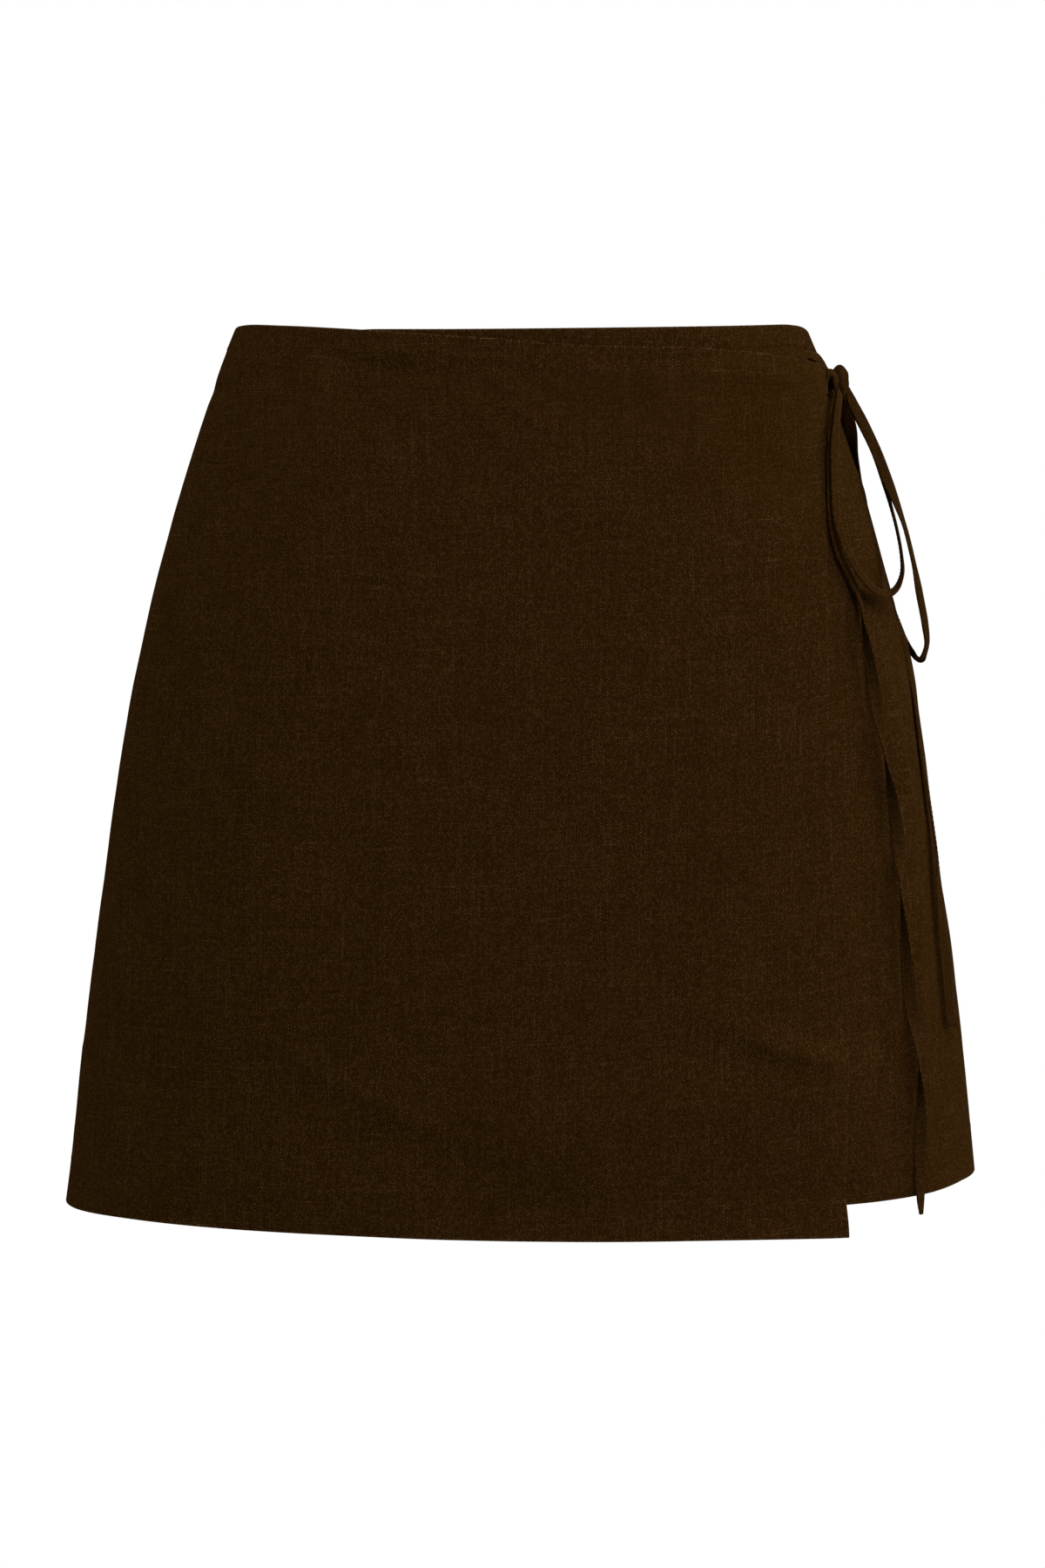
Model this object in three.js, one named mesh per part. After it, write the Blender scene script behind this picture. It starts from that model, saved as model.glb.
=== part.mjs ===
// A wrap skirt of plain woven linen, filled out as it is when worn.
// Millimetres. +Z is up, -Y is the front, +X is the wearer's left. The origin is the middle of the waist.
// Angles go round the body in degrees: 0 is the centre front, 90 the wearer's left side, 180 the centre back.
// A drop is the distance below the waist.
import * as THREE from 'three';

// Driving dimensions
const CLOTH = 1.3;                 // thickness of a panel
const SEAM_GAP = 0.4;              // between two panels at a side seam
const LAYER_GAP = 0.5;             // between the under front and the overlap
const LEFT_SEAM_ANGLE = 76;        // the wearer's left side seam
const RIGHT_SEAM_ANGLE = -96;      // the wearer's right side seam
const TIE_WIDTH = 6;
const TIE_THICKNESS = 1.4;
const KNOT = { centre: [145.4, -8.5, -23.2], radii: [4.1, 4.6, 4.6] };

// The body's form: half widths and depths of oval sections from the waist to below the hem
const SECTIONS = [
  { drop: -12, halfWidth: 124.0, front: 88.0, back: 90.0 },
  { drop: 0, halfWidth: 129.6, front: 93.0, back: 95.0 },
  { drop: 20, halfWidth: 137.8, front: 98.0, back: 101.0 },
  { drop: 45, halfWidth: 146.4, front: 104.0, back: 110.0 },
  { drop: 90, halfWidth: 160.4, front: 114.0, back: 126.0 },
  { drop: 140, halfWidth: 173.2, front: 124.0, back: 139.0 },
  { drop: 190, halfWidth: 183.0, front: 132.0, back: 146.0 },
  { drop: 250, halfWidth: 191.7, front: 139.0, back: 149.0 },
  { drop: 320, halfWidth: 200.4, front: 146.0, back: 152.0 },
  { drop: 410, halfWidth: 209.4, front: 154.5, back: 156.0 },
];

// Edges of the overlap
const OVERLAP_TOP = [
  { angle: -96, drop: 3.8 }, { angle: -88, drop: 3.0 }, { angle: -79, drop: 0.2 },
  { angle: -66, drop: -0.9 }, { angle: -52, drop: -0.7 }, { angle: -37, drop: 0.2 },
  { angle: -13, drop: 2.9 }, { angle: 15, drop: 7.2 }, { angle: 32, drop: 8.1 },
  { angle: 42, drop: 9.3 }, { angle: 62, drop: 13.5 }, { angle: 78, drop: 17.2 },
  { angle: 83, drop: 19.6 },
];
const OVERLAP_HEM = [
  { angle: -96, drop: 402.5 }, { angle: -75, drop: 401.2 }, { angle: -55, drop: 399.5 },
  { angle: -25, drop: 398.8 }, { angle: 0, drop: 400 }, { angle: 22, drop: 401.2 },
  { angle: 44, drop: 404 },
];
const OVERLAP_FREE_EDGE = [
  { drop: 19.6, angle: 82.6 }, { drop: 28, angle: 75.7 }, { drop: 36, angle: 71.5 },
  { drop: 50, angle: 66.1 }, { drop: 73, angle: 60.4 }, { drop: 100, angle: 56.0 },
  { drop: 131, angle: 52.4 }, { drop: 167, angle: 49.6 }, { drop: 211, angle: 47.5 },
  { drop: 273, angle: 45.8 }, { drop: 300, angle: 45.1 }, { drop: 322, angle: 45.6 },
  { drop: 357, angle: 44.8 }, { drop: 404, angle: 43.8 },
];

// Edges of the under front. Its hidden end stops short of the wearer's right side seam.
const UNDER_TOP = [
  { angle: -86, drop: 5 }, { angle: -60, drop: 2.0 }, { angle: -40, drop: 1.4 },
  { angle: -30, drop: 0.3 }, { angle: -15, drop: 0.1 }, { angle: 15, drop: -0.5 },
  { angle: 37, drop: -0.8 }, { angle: 66, drop: -1.0 }, { angle: 76, drop: -0.2 },
];
const UNDER_HEM = [
  { angle: -86, drop: 391 }, { angle: 0, drop: 390.5 }, { angle: 60, drop: 390 },
  { angle: 76, drop: 388.3 },
];
const UNDER_HIDDEN_END = [
  { drop: 0, angle: -79 }, { drop: 200, angle: -84 }, { drop: 400, angle: -85.5 },
];

// Edges of the back
const BACK_TOP = [
  { angle: 76, drop: -0.2 }, { angle: 82, drop: 1.0 }, { angle: 90, drop: 3.3 },
  { angle: 110, drop: 5.2 }, { angle: 180, drop: 6.5 }, { angle: 250, drop: 5.2 },
  { angle: 264, drop: 3.8 },
];
const BACK_HEM = [
  { angle: 76, drop: 388.3 }, { angle: 90, drop: 388 }, { angle: 130, drop: 391.5 },
  { angle: 180, drop: 395.5 }, { angle: 230, drop: 399.5 }, { angle: 264, drop: 402.5 },
];

// Soft folds: a ridge (or a trough, where the height is negative) from one point of the cloth to another
const FORM_FOLDS = [
  { name: 'front of the left seam', from: [69, 262], to: [63, 338], halfWidth: 6, height: 1.6 },
  { name: 'under the long tail', from: [57, 300], to: [58.5, 372], halfWidth: 6, height: 1.1 },
  { name: 'left side at the hem', from: [91, 290], to: [90, 400], halfWidth: 34, height: 1.5 },
  { name: 'back left fall', from: [118, 250], to: [114, 386], halfWidth: 20, height: 3.0 },
  { name: 'back middle fall', from: [166, 270], to: [162, 392], halfWidth: 24, height: 3.4 },
  { name: 'back right fall', from: [214, 240], to: [222, 398], halfWidth: 22, height: 3.0 },
  { name: 'hollow at the back', from: [140, 230], to: [139, 388], halfWidth: 20, height: -2.4 },
];
const OVERLAP_FOLDS = [
  { name: 'drag under the top edge', from: [-28, 9], to: [12, 15], halfWidth: 6, height: 1.5 },
  { name: 'roll of the top edge', from: [-18, 2], to: [38, 8], halfWidth: 5, height: 1.0 },
  { name: 'low ridge', from: [24, 303], to: [43, 327], halfWidth: 9, height: 1.6 },
  { name: 'lower corner', from: [40, 345], to: [43, 400], halfWidth: 14, height: 1.8 },
  { name: 'free edge at the hip', from: [57, 70], to: [49, 160], halfWidth: 9, height: 1.2 },
  { name: 'upper corner', from: [84, 20], to: [74, 30], halfWidth: 12, height: 1.2 },
];

// Panel grids
const OVERLAP_COLUMNS = 38;
const OVERLAP_ROWS = 24;
const UNDER_COLUMNS = 34;
const UNDER_ROWS = 21;
const BACK_COLUMNS = 38;
const BACK_ROWS = 21;

// How finely the surfaces are divided
const ROW_EASE = 1.3;              // over 1, rows are closer together near the waist
const TAPE_STEP = 7;
const KNOT_SIDES = 18;
const KNOT_RINGS = 12;

// Values that the shapes share
const HEM_DROP = 400;
const MM_PER_DEGREE = 2.6;         // arc for a degree at hip level
const WAIST_MM_PER_DEGREE = 1.7;
const HALF_GAP_ANGLE = SEAM_GAP / 2 / WAIST_MM_PER_DEGREE;
const CLEAR_OF_END = 2;            // degrees by which the overlap is up before the hidden end
const BACKWARDS = new THREE.Vector3(0, 1, 0);

// Corners of a tape's section, as shares of half its width and thickness, once round
const TAPE_SECTION = [
  { wide: -1, thick: 0.5 }, { wide: -0.8, thick: 1 }, { wide: 0.8, thick: 1 }, { wide: 1, thick: 0.5 },
  { wide: 1, thick: -0.5 }, { wide: 0.8, thick: -1 }, { wide: -0.8, thick: -1 }, { wide: -1, thick: -0.5 },
];

// The ties. A row is a point of the tape's middle line, its width as a share of the full one,
// and its twist in degrees: 0 is edge-on from the front, 90 flat to the front.
const TIE_OVERLAP_ROOT = [
  { at: [140.4, -20.6, -23.4], width: 0.83, twist: 82 },
  { at: [141.4, -16.8, -23.2], width: 0.83, twist: 84 },
  { at: [142.9, -13.4, -23.0], width: 0.73, twist: 88 },
];
const TIE_SIDE_ROOT = [
  { at: [131.9, -21.1, -9.0], width: 1, twist: 31 },
  { at: [136.1, -10.4, -12.4], width: 1, twist: 25 },
  { at: [139.4, -3.4, -15.6], width: 0.87, twist: 20 },
  { at: [142.6, -2.6, -18.0], width: 0.6, twist: 14 },
];
const LOOP_FRONT = [
  { at: [144.6, -12.4, -28.4], width: 0.43, twist: 4 },
  { at: [144.6, -19.0, -31.5], width: 0.57, twist: 20 },
  { at: [143.0, -33.0, -40.2], width: 0.73, twist: 30 },
  { at: [141.8, -42.5, -49.8], width: 0.9, twist: 35 },
  { at: [141.3, -49.4, -60.6], width: 1.0, twist: 36 },
  { at: [141.3, -54.4, -71.4], width: 1.0, twist: 36 },
  { at: [142.0, -60.0, -84.6], width: 1.0, twist: 34 },
  { at: [145.3, -61.5, -97.1], width: 1.0, twist: 32 },
  { at: [151.3, -59.2, -109.0], width: 1.0, twist: 30 },
  { at: [158.3, -52.5, -117.2], width: 1.0, twist: 28 },
  { at: [164.8, -41.0, -120.4], width: 1.0, twist: 26 },
  { at: [170.0, -31.0, -118.3], width: 1.0, twist: 16 },
  { at: [173.1, -22.0, -112.1], width: 1.0, twist: 8 },
  { at: [173.2, -15.0, -104.1], width: 1.0, twist: 4 },
  { at: [171.5, -9.0, -93.2], width: 1.0, twist: 4 },
  { at: [168.9, -5.0, -82.6], width: 1.0, twist: 6 },
  { at: [165.3, -2.4, -70.3], width: 1.0, twist: 14 },
  { at: [161.1, -1.4, -58.4], width: 0.9, twist: 14 },
  { at: [155.9, -1.8, -46.7], width: 0.73, twist: 10 },
  { at: [151.0, -3.6, -36.7], width: 0.53, twist: 4 },
  { at: [147.8, -5.2, -28.6], width: 0.43, twist: 0 },
];
const LOOP_BACK = [
  { at: [148.2, -11.6, -28.4], width: 0.43, twist: 6 },
  { at: [150.7, -10.6, -34.5], width: 0.57, twist: 30 },
  { at: [156.4, -9.4, -45.7], width: 0.83, twist: 48 },
  { at: [162.2, -8.4, -58.1], width: 1.0, twist: 54 },
  { at: [166.4, -7.6, -68.9], width: 1.0, twist: 50 },
  { at: [171.3, -6.4, -80.9], width: 1.0, twist: 30 },
  { at: [175.3, -5.2, -92.2], width: 1.0, twist: 8 },
  { at: [179.2, -3.2, -107.4], width: 1.0, twist: 6 },
  { at: [182.4, -0.8, -123.2], width: 1.0, twist: 32 },
  { at: [185.1, 2.4, -136.9], width: 1.0, twist: 30 },
  { at: [186.1, 6.0, -146.4], width: 1.0, twist: 20 },
  { at: [183.5, 12.0, -153.4], width: 1.0, twist: 24 },
  { at: [179.4, 18.0, -149.9], width: 1.0, twist: 22 },
  { at: [174.8, 21.2, -140.0], width: 1.0, twist: 8 },
  { at: [169.9, 26.7, -126.0], width: 1.0, twist: 0 },
  { at: [164.8, 29.3, -110.0], width: 1.0, twist: 0 },
  { at: [160.1, 29.4, -94.0], width: 1.0, twist: 0 },
  { at: [155.6, 28.3, -78.0], width: 0.93, twist: 0 },
  { at: [151.6, 26.1, -64.0], width: 0.87, twist: 0 },
  { at: [148.9, 22.2, -52.0], width: 0.77, twist: 0 },
  { at: [147.6, 13.8, -41.0], width: 0.6, twist: 0 },
  { at: [147.1, 2.9, -33.5], width: 0.5, twist: 0 },
  { at: [144.9, -3.6, -28.8], width: 0.4, twist: 0 },
];
const TAIL_LONG = [
  { at: [141.9, -12.6, -28.6], width: 0.4, twist: 20 },
  { at: [142.2, -20.0, -31.5], width: 0.53, twist: 34 },
  { at: [140.8, -32.0, -41.4], width: 0.73, twist: 36 },
  { at: [140.0, -41.9, -53.8], width: 0.9, twist: 38 },
  { at: [139.7, -50.2, -68.5], width: 1.0, twist: 38 },
  { at: [140.0, -57.7, -84.7], width: 1.0, twist: 38 },
  { at: [142.6, -60.0, -99.5], width: 1.0, twist: 34 },
  { at: [148.2, -58.2, -112.2], width: 1.0, twist: 26 },
  { at: [152.6, -57.0, -123.2], width: 1.0, twist: 10 },
  { at: [154.0, -59.5, -132.5], width: 1.0, twist: -8 },
  { at: [155.9, -61.8, -143.4], width: 1.0, twist: -36 },
  { at: [157.8, -63.4, -154.3], width: 1.0, twist: -56 },
  { at: [159.4, -66.1, -168.6], width: 1.0, twist: -100 },
  { at: [162.1, -66.7, -184.3], width: 1.0, twist: -158 },
  { at: [164.5, -66.9, -196.4], width: 1.0, twist: -190 },
  { at: [167.2, -66.2, -210.6], width: 1.0, twist: -228 },
  { at: [169.2, -67.0, -225.4], width: 1.0, twist: -262 },
  { at: [169.9, -68.7, -237.0], width: 1.0, twist: -308 },
  { at: [170.6, -69.7, -246.3], width: 1.0, twist: -342 },
  { at: [171.5, -71.6, -260.2], width: 1.0, twist: -372 },
  { at: [172.8, -72.9, -275.8], width: 1.0, twist: -404 },
  { at: [173.9, -73.5, -288.2], width: 1.0, twist: -424 },
  { at: [175.4, -74.8, -303.7], width: 1.0, twist: -456 },
  { at: [177.6, -74.5, -318.6], width: 1.0, twist: -508 },
  { at: [179.3, -75.3, -331.8], width: 1.0, twist: -540 },
  { at: [180.2, -75.8, -344.3], width: 1.0, twist: -574 },
  { at: [179.9, -78.1, -356.5], width: 1.0, twist: -610 },
  { at: [179.6, -80.4, -368.7], width: 1.0, twist: -640 },
  { at: [179.6, -81.3, -381.1], width: 1.0, twist: -664 },
  { at: [179.7, -80.5, -391.3], width: 0.9, twist: -684 },
  { at: [180.0, -80.5, -398.0], width: 0.37, twist: -690 },
];
const TAIL_SHORT = [
  { at: [141.6, -4.0, -28.6], width: 0.4, twist: 0 },
  { at: [146.6, 0.6, -36.0], width: 0.57, twist: -50 },
  { at: [150.5, 5.0, -46.0], width: 0.73, twist: -76 },
  { at: [152.9, 11.0, -60.0], width: 0.83, twist: -34 },
  { at: [156.4, 16.8, -76.0], width: 0.9, twist: -12 },
  { at: [161.4, 18.8, -94.0], width: 1.0, twist: -10 },
  { at: [166.4, 18.4, -112.0], width: 1.0, twist: -8 },
  { at: [171.0, 14.6, -128.0], width: 1.0, twist: -4 },
  { at: [175.4, 5.0, -144.0], width: 1.0, twist: 4 },
  { at: [178.5, -7.0, -160.0], width: 1.0, twist: 8 },
  { at: [180.5, -16.6, -176.0], width: 1.0, twist: 14 },
  { at: [182.7, -22.2, -194.0], width: 1.0, twist: 20 },
  { at: [185.3, -24.2, -212.0], width: 1.0, twist: 8 },
  { at: [187.7, -26.0, -228.0], width: 1.0, twist: 4 },
  { at: [189.4, -28.9, -242.0], width: 1.0, twist: 6 },
  { at: [189.9, -33.6, -254.4], width: 1.0, twist: 26 },
  { at: [190.8, -36.6, -267.6], width: 1.0, twist: 42 },
  { at: [192.2, -38.4, -281.3], width: 1.0, twist: 50 },
  { at: [193.4, -40.0, -294.9], width: 1.0, twist: 52 },
  { at: [194.5, -40.8, -306.7], width: 1.0, twist: 54 },
  { at: [195.6, -41.6, -317.3], width: 1.0, twist: 56 },
];

// Value of a table's column at a place, through its rows on a smooth curve that never overshoots
function along(table, by, column, at) {
  const last = table.length - 1;
  const place = THREE.MathUtils.clamp(at, table[0][by], table[last][by]);
  const rise = (i) => (table[i + 1][column] - table[i][column]) / (table[i + 1][by] - table[i][by]);
  const slope = (i) => {
    if (i === 0) return rise(0);
    if (i === last) return rise(last - 1);
    const before = rise(i - 1);
    const after = rise(i);
    return before * after <= 0 ? 0 : (2 * before * after) / (before + after);
  };
  let i = 0;
  while (i < last - 1 && table[i + 1][by] <= place) i += 1;
  const span = table[i + 1][by] - table[i][by];
  const u = (place - table[i][by]) / span;
  return (2 * u ** 3 - 3 * u ** 2 + 1) * table[i][column]
    + (u ** 3 - 2 * u ** 2 + u) * span * slope(i)
    + (3 * u ** 2 - 2 * u ** 3) * table[i + 1][column]
    + (u ** 3 - u ** 2) * span * slope(i + 1);
}

// Height of a set of soft folds at a point of the cloth
function foldHeight(folds, angle, drop) {
  let height = 0;
  for (const fold of folds) {
    const start = new THREE.Vector2(fold.from[0] * MM_PER_DEGREE, fold.from[1]);
    const run = new THREE.Vector2(fold.to[0] * MM_PER_DEGREE, fold.to[1]).sub(start);
    const here = new THREE.Vector2(angle * MM_PER_DEGREE, drop).sub(start);
    const share = THREE.MathUtils.clamp(here.dot(run) / run.lengthSq(), 0, 1);
    const distance = here.sub(run.multiplyScalar(share)).length();
    height += fold.height * Math.exp(-((distance / fold.halfWidth) ** 2));
  }
  return height;
}

// A point of the form, moved outwards by a distance
function formPoint(angle, drop, outwards) {
  const turn = THREE.MathUtils.degToRad(angle);
  const halfWidth = along(SECTIONS, 'drop', 'halfWidth', drop);
  const depth = along(SECTIONS, 'drop', Math.cos(turn) > 0 ? 'front' : 'back', drop);
  const normal = new THREE.Vector2(depth * Math.sin(turn), -halfWidth * Math.cos(turn)).normalize();
  const out = outwards + foldHeight(FORM_FOLDS, angle, drop);
  return new THREE.Vector3(
    halfWidth * Math.sin(turn) + out * normal.x,
    -depth * Math.cos(turn) + out * normal.y,
    -drop,
  );
}

// A closed body through rings of points. Each ring goes out along one side and back along the other,
// so that its first point is next to its last one, and the end rings are closed across.
function closedBody(rings) {
  const count = rings[0].length;
  const index = [];
  for (let i = 0; i < rings.length - 1; i += 1) {
    for (let j = 0; j < count; j += 1) {
      const a = i * count + j;
      const b = i * count + ((j + 1) % count);
      index.push(a, b, a + count, b, b + count, a + count);
    }
  }
  const end = (rings.length - 1) * count;
  for (let j = 0; j < count / 2 - 1; j += 1) {
    const k = count - 1 - j;
    index.push(j, k, j + 1, k, k - 1, j + 1);
    index.push(end + j, end + j + 1, end + k, end + k, end + j + 1, end + k - 1);
  }
  const geometry = new THREE.BufferGeometry().setFromPoints(rings.flat());
  const position = geometry.getAttribute('position');
  const corner = (i) => new THREE.Vector3().fromBufferAttribute(position, index[i]);
  let volume = 0;
  for (let i = 0; i < index.length; i += 3) {
    volume += corner(i).dot(corner(i + 1).cross(corner(i + 2)));
  }
  geometry.setIndex(volume < 0 ? index.reverse() : index);
  geometry.computeVertexNormals();
  return geometry;
}

// A panel of cloth: a wall between two edges that go down and a top and a hem that go across
function panel({ columns, rows, left, right, top, hem, lift }) {
  const rings = [];
  for (let row = 0; row <= rows; row += 1) {
    const outside = [];
    const inside = [];
    for (let column = 0; column <= columns; column += 1) {
      const across = column / columns;
      const topAngle = THREE.MathUtils.lerp(left(0), right(0), across);
      const hemAngle = THREE.MathUtils.lerp(left(HEM_DROP), right(HEM_DROP), across);
      const highest = along(top, 'angle', 'drop', topAngle);
      const lowest = along(hem, 'angle', 'drop', hemAngle);
      const drop = THREE.MathUtils.lerp(highest, lowest, (row / rows) ** ROW_EASE);
      const angle = THREE.MathUtils.lerp(left(drop), right(drop), across);
      const inner = lift(angle, drop);
      outside.push(formPoint(angle, drop, inner + CLOTH));
      inside.unshift(formPoint(angle, drop, inner));
    }
    rings.push([...outside, ...inside]);
  }
  return closedBody(rings);
}

// A flat tape along its middle line
function tape(stations) {
  const points = stations.map((station) => new THREE.Vector3(...station.at));
  const route = new THREE.CatmullRomCurve3(points, false, 'centripetal');
  const steps = Math.ceil(route.getLength() / TAPE_STEP);
  const table = stations.map((station, i) => ({ ...station, place: i / (stations.length - 1) }));
  const rings = [];
  for (let step = 0; step <= steps; step += 1) {
    const place = route.getUtoTmapping(step / steps);
    const forward = route.getTangent(place);
    const twist = THREE.MathUtils.degToRad(along(table, 'place', 'twist', place));
    const wide = BACKWARDS.clone().projectOnPlane(forward).normalize().applyAxisAngle(forward, twist);
    const thick = new THREE.Vector3().crossVectors(forward, wide);
    wide.multiplyScalar(along(table, 'place', 'width', place) * TIE_WIDTH / 2);
    thick.multiplyScalar(TIE_THICKNESS / 2);
    rings.push(TAPE_SECTION.map((corner) => route.getPoint(place)
      .addScaledVector(wide, corner.wide)
      .addScaledVector(thick, corner.thick)));
  }
  return closedBody(rings);
}

// The knot, a rounded lump
function knot({ centre, radii }) {
  const geometry = new THREE.SphereGeometry(1, KNOT_SIDES, KNOT_RINGS);
  geometry.scale(...radii);
  geometry.translate(...centre);
  return geometry;
}

const linen = new THREE.MeshStandardMaterial({ color: 0x28180a, roughness: 0.93, metalness: 0 });
const group = new THREE.Group();

function add(name, geometry) {
  const mesh = new THREE.Mesh(geometry, linen);
  mesh.name = name;
  group.add(mesh);
}

add('back_panel', panel({
  columns: BACK_COLUMNS,
  rows: BACK_ROWS,
  left: () => LEFT_SEAM_ANGLE + HALF_GAP_ANGLE,
  right: () => 360 + RIGHT_SEAM_ANGLE - HALF_GAP_ANGLE,
  top: BACK_TOP,
  hem: BACK_HEM,
  lift: () => -CLOTH,
}));

add('front_under', panel({
  columns: UNDER_COLUMNS,
  rows: UNDER_ROWS,
  left: (drop) => along(UNDER_HIDDEN_END, 'drop', 'angle', drop),
  right: () => LEFT_SEAM_ANGLE - HALF_GAP_ANGLE,
  top: UNDER_TOP,
  hem: UNDER_HEM,
  lift: () => -CLOTH,
}));

// The overlap is sewn in at the level of the back and rises over the hidden end of the under front
function overlapLift(angle, drop) {
  const hiddenEnd = along(UNDER_HIDDEN_END, 'drop', 'angle', drop);
  const rise = THREE.MathUtils.smoothstep(angle, RIGHT_SEAM_ANGLE, hiddenEnd - CLEAR_OF_END);
  const folds = Math.max(0, foldHeight(OVERLAP_FOLDS, angle, drop));
  return THREE.MathUtils.lerp(-CLOTH, LAYER_GAP, rise) + folds;
}

add('front_overlap', panel({
  columns: OVERLAP_COLUMNS,
  rows: OVERLAP_ROWS,
  left: () => RIGHT_SEAM_ANGLE + HALF_GAP_ANGLE,
  right: (drop) => along(OVERLAP_FREE_EDGE, 'drop', 'angle', drop),
  top: OVERLAP_TOP,
  hem: OVERLAP_HEM,
  lift: overlapLift,
}));

add('tie_overlap', tape(TIE_OVERLAP_ROOT));
add('tie_side', tape(TIE_SIDE_ROOT));
add('bow_knot', knot(KNOT));
add('bow_loop_front', tape(LOOP_FRONT));
add('bow_loop_back', tape(LOOP_BACK));
add('bow_tail_long', tape(TAIL_LONG));
add('bow_tail_short', tape(TAIL_SHORT));

export default group;
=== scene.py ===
import math

import bpy
import numpy as np
from bpy.props import FloatProperty, FloatVectorProperty, IntProperty, PointerProperty
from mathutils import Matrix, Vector


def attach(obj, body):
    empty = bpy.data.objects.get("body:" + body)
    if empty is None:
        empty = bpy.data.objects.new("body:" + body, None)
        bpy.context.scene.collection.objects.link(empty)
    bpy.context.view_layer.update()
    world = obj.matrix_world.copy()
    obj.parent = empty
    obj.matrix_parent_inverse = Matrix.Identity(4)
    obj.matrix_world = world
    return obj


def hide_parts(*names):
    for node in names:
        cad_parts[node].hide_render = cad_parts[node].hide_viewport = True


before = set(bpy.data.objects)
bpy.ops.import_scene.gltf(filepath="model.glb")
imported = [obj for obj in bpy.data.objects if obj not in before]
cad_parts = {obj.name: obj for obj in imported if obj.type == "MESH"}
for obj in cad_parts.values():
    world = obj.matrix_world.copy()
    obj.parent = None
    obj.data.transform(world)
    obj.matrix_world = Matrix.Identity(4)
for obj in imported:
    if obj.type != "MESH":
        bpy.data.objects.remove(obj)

bl_info = {
    "name": "Linen wrap skirt",
    "version": (1, 0, 0),
    "blender": (4, 5, 0),
    "location": "3D View > Sidebar > Wrap skirt",
    "description": "Dresses a short wrap skirt in woven linen, with its seams, hems, ties and bow",
    "category": "Add Mesh",
}

# Metres and degrees throughout. -Y is the front, +X the wearer's left. The origin is the middle of the waist.
# Angles go round the body: 0 is the centre front, 90 the wearer's left side, 180 the centre back.
# A drop is the distance below the waist.
MM = 0.001
BODY = "root"


def srgb(code):
    """Linear red, green, blue of an sRGB hex colour: each channel c becomes ((c + 0.055) / 1.055) ** 2.4."""
    channels = [int(code[i:i + 2], 16) / 255 for i in (1, 3, 5)]
    return tuple(c / 12.92 if c <= 0.04045 else ((c + 0.055) / 1.055) ** 2.4 for c in channels)


def table(columns, rows):
    """A short table as a dict of arrays, one for each named column."""
    return dict(zip(columns.split(), np.array(rows, dtype=float).T))


# The body's form: half widths and depths of oval sections from the waist to below the hem
SECTIONS = table("drop half_width front back", [
    (-0.012, 0.1240, 0.0880, 0.0900), (0.000, 0.1296, 0.0930, 0.0950), (0.020, 0.1378, 0.0980, 0.1010),
    (0.045, 0.1464, 0.1040, 0.1100), (0.090, 0.1604, 0.1140, 0.1260), (0.140, 0.1732, 0.1240, 0.1390),
    (0.190, 0.1830, 0.1320, 0.1460), (0.250, 0.1917, 0.1390, 0.1490), (0.320, 0.2004, 0.1460, 0.1520),
    (0.410, 0.2094, 0.1545, 0.1560),
])

# Edges of the panels
LEFT_SEAM_ANGLE = 76
RIGHT_SEAM_ANGLE = -96
OVERLAP_TOP = table("angle drop", [
    (-96, 0.0038), (-88, 0.0030), (-79, 0.0002), (-66, -0.0009), (-52, -0.0007), (-37, 0.0002), (-13, 0.0029),
    (15, 0.0072), (32, 0.0081), (42, 0.0093), (62, 0.0135), (78, 0.0172), (83, 0.0196),
])
OVERLAP_HEM = table("angle drop", [
    (-96, 0.4025), (-75, 0.4012), (-55, 0.3995), (-25, 0.3988), (0, 0.4000), (22, 0.4012), (44, 0.4040),
])
OVERLAP_FREE_EDGE = table("drop angle", [
    (0.0196, 82.6), (0.028, 75.7), (0.036, 71.5), (0.050, 66.1), (0.073, 60.4), (0.100, 56.0), (0.131, 52.4),
    (0.167, 49.6), (0.211, 47.5), (0.273, 45.8), (0.300, 45.1), (0.322, 45.6), (0.357, 44.8), (0.404, 43.8),
])
UNDER_TOP = table("angle drop", [
    (-86, 0.0050), (-60, 0.0020), (-40, 0.0014), (-30, 0.0003), (-15, 0.0001), (15, -0.0005), (37, -0.0008),
    (66, -0.0010), (76, -0.0002),
])
UNDER_HEM = table("angle drop", [(-86, 0.3910), (0, 0.3905), (60, 0.3900), (76, 0.3883)])
UNDER_HIDDEN_END = table("drop angle", [(0, -79), (0.2, -84), (0.4, -85.5)])
BACK_TOP = table("angle drop", [
    (76, -0.0002), (82, 0.0010), (90, 0.0033), (110, 0.0052), (180, 0.0065), (250, 0.0052), (264, 0.0038),
])
BACK_HEM = table("angle drop", [
    (76, 0.3883), (90, 0.3880), (130, 0.3915), (180, 0.3955), (230, 0.3995), (264, 0.4025),
])

# Soft folds of the whole form, and of the overlap alone: a ridge, or a trough where the height is negative,
# from one point of the cloth to another
FOLD_COLUMNS = "angle_from drop_from angle_to drop_to half_width height"
FORM_FOLDS = table(FOLD_COLUMNS, [
    (69, 0.262, 63, 0.338, 0.006, 0.0016), (57, 0.300, 58.5, 0.372, 0.006, 0.0011),
    (118, 0.250, 114, 0.386, 0.020, 0.0030), (166, 0.270, 162, 0.392, 0.024, 0.0034),
    (214, 0.240, 222, 0.398, 0.022, 0.0030), (140, 0.230, 139, 0.388, 0.020, -0.0024),
    (91, 0.290, 90, 0.400, 0.034, 0.0015), (-93, 0.020, -92, 0.370, 0.034, -0.0016),
    (267, 0.020, 268, 0.370, 0.034, -0.0016), (-40, 0.050, -37, 0.300, 0.026, 0.0030),
    (-36, 0.332, 2, 0.386, 0.015, -0.0015), (4, 0.350, 43, 0.332, 0.013, 0.0024),
    (-4, 0.388, 43, 0.384, 0.012, -0.0024), (0, 0.036, 12, 0.075, 0.022, 0.0020),
])
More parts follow.
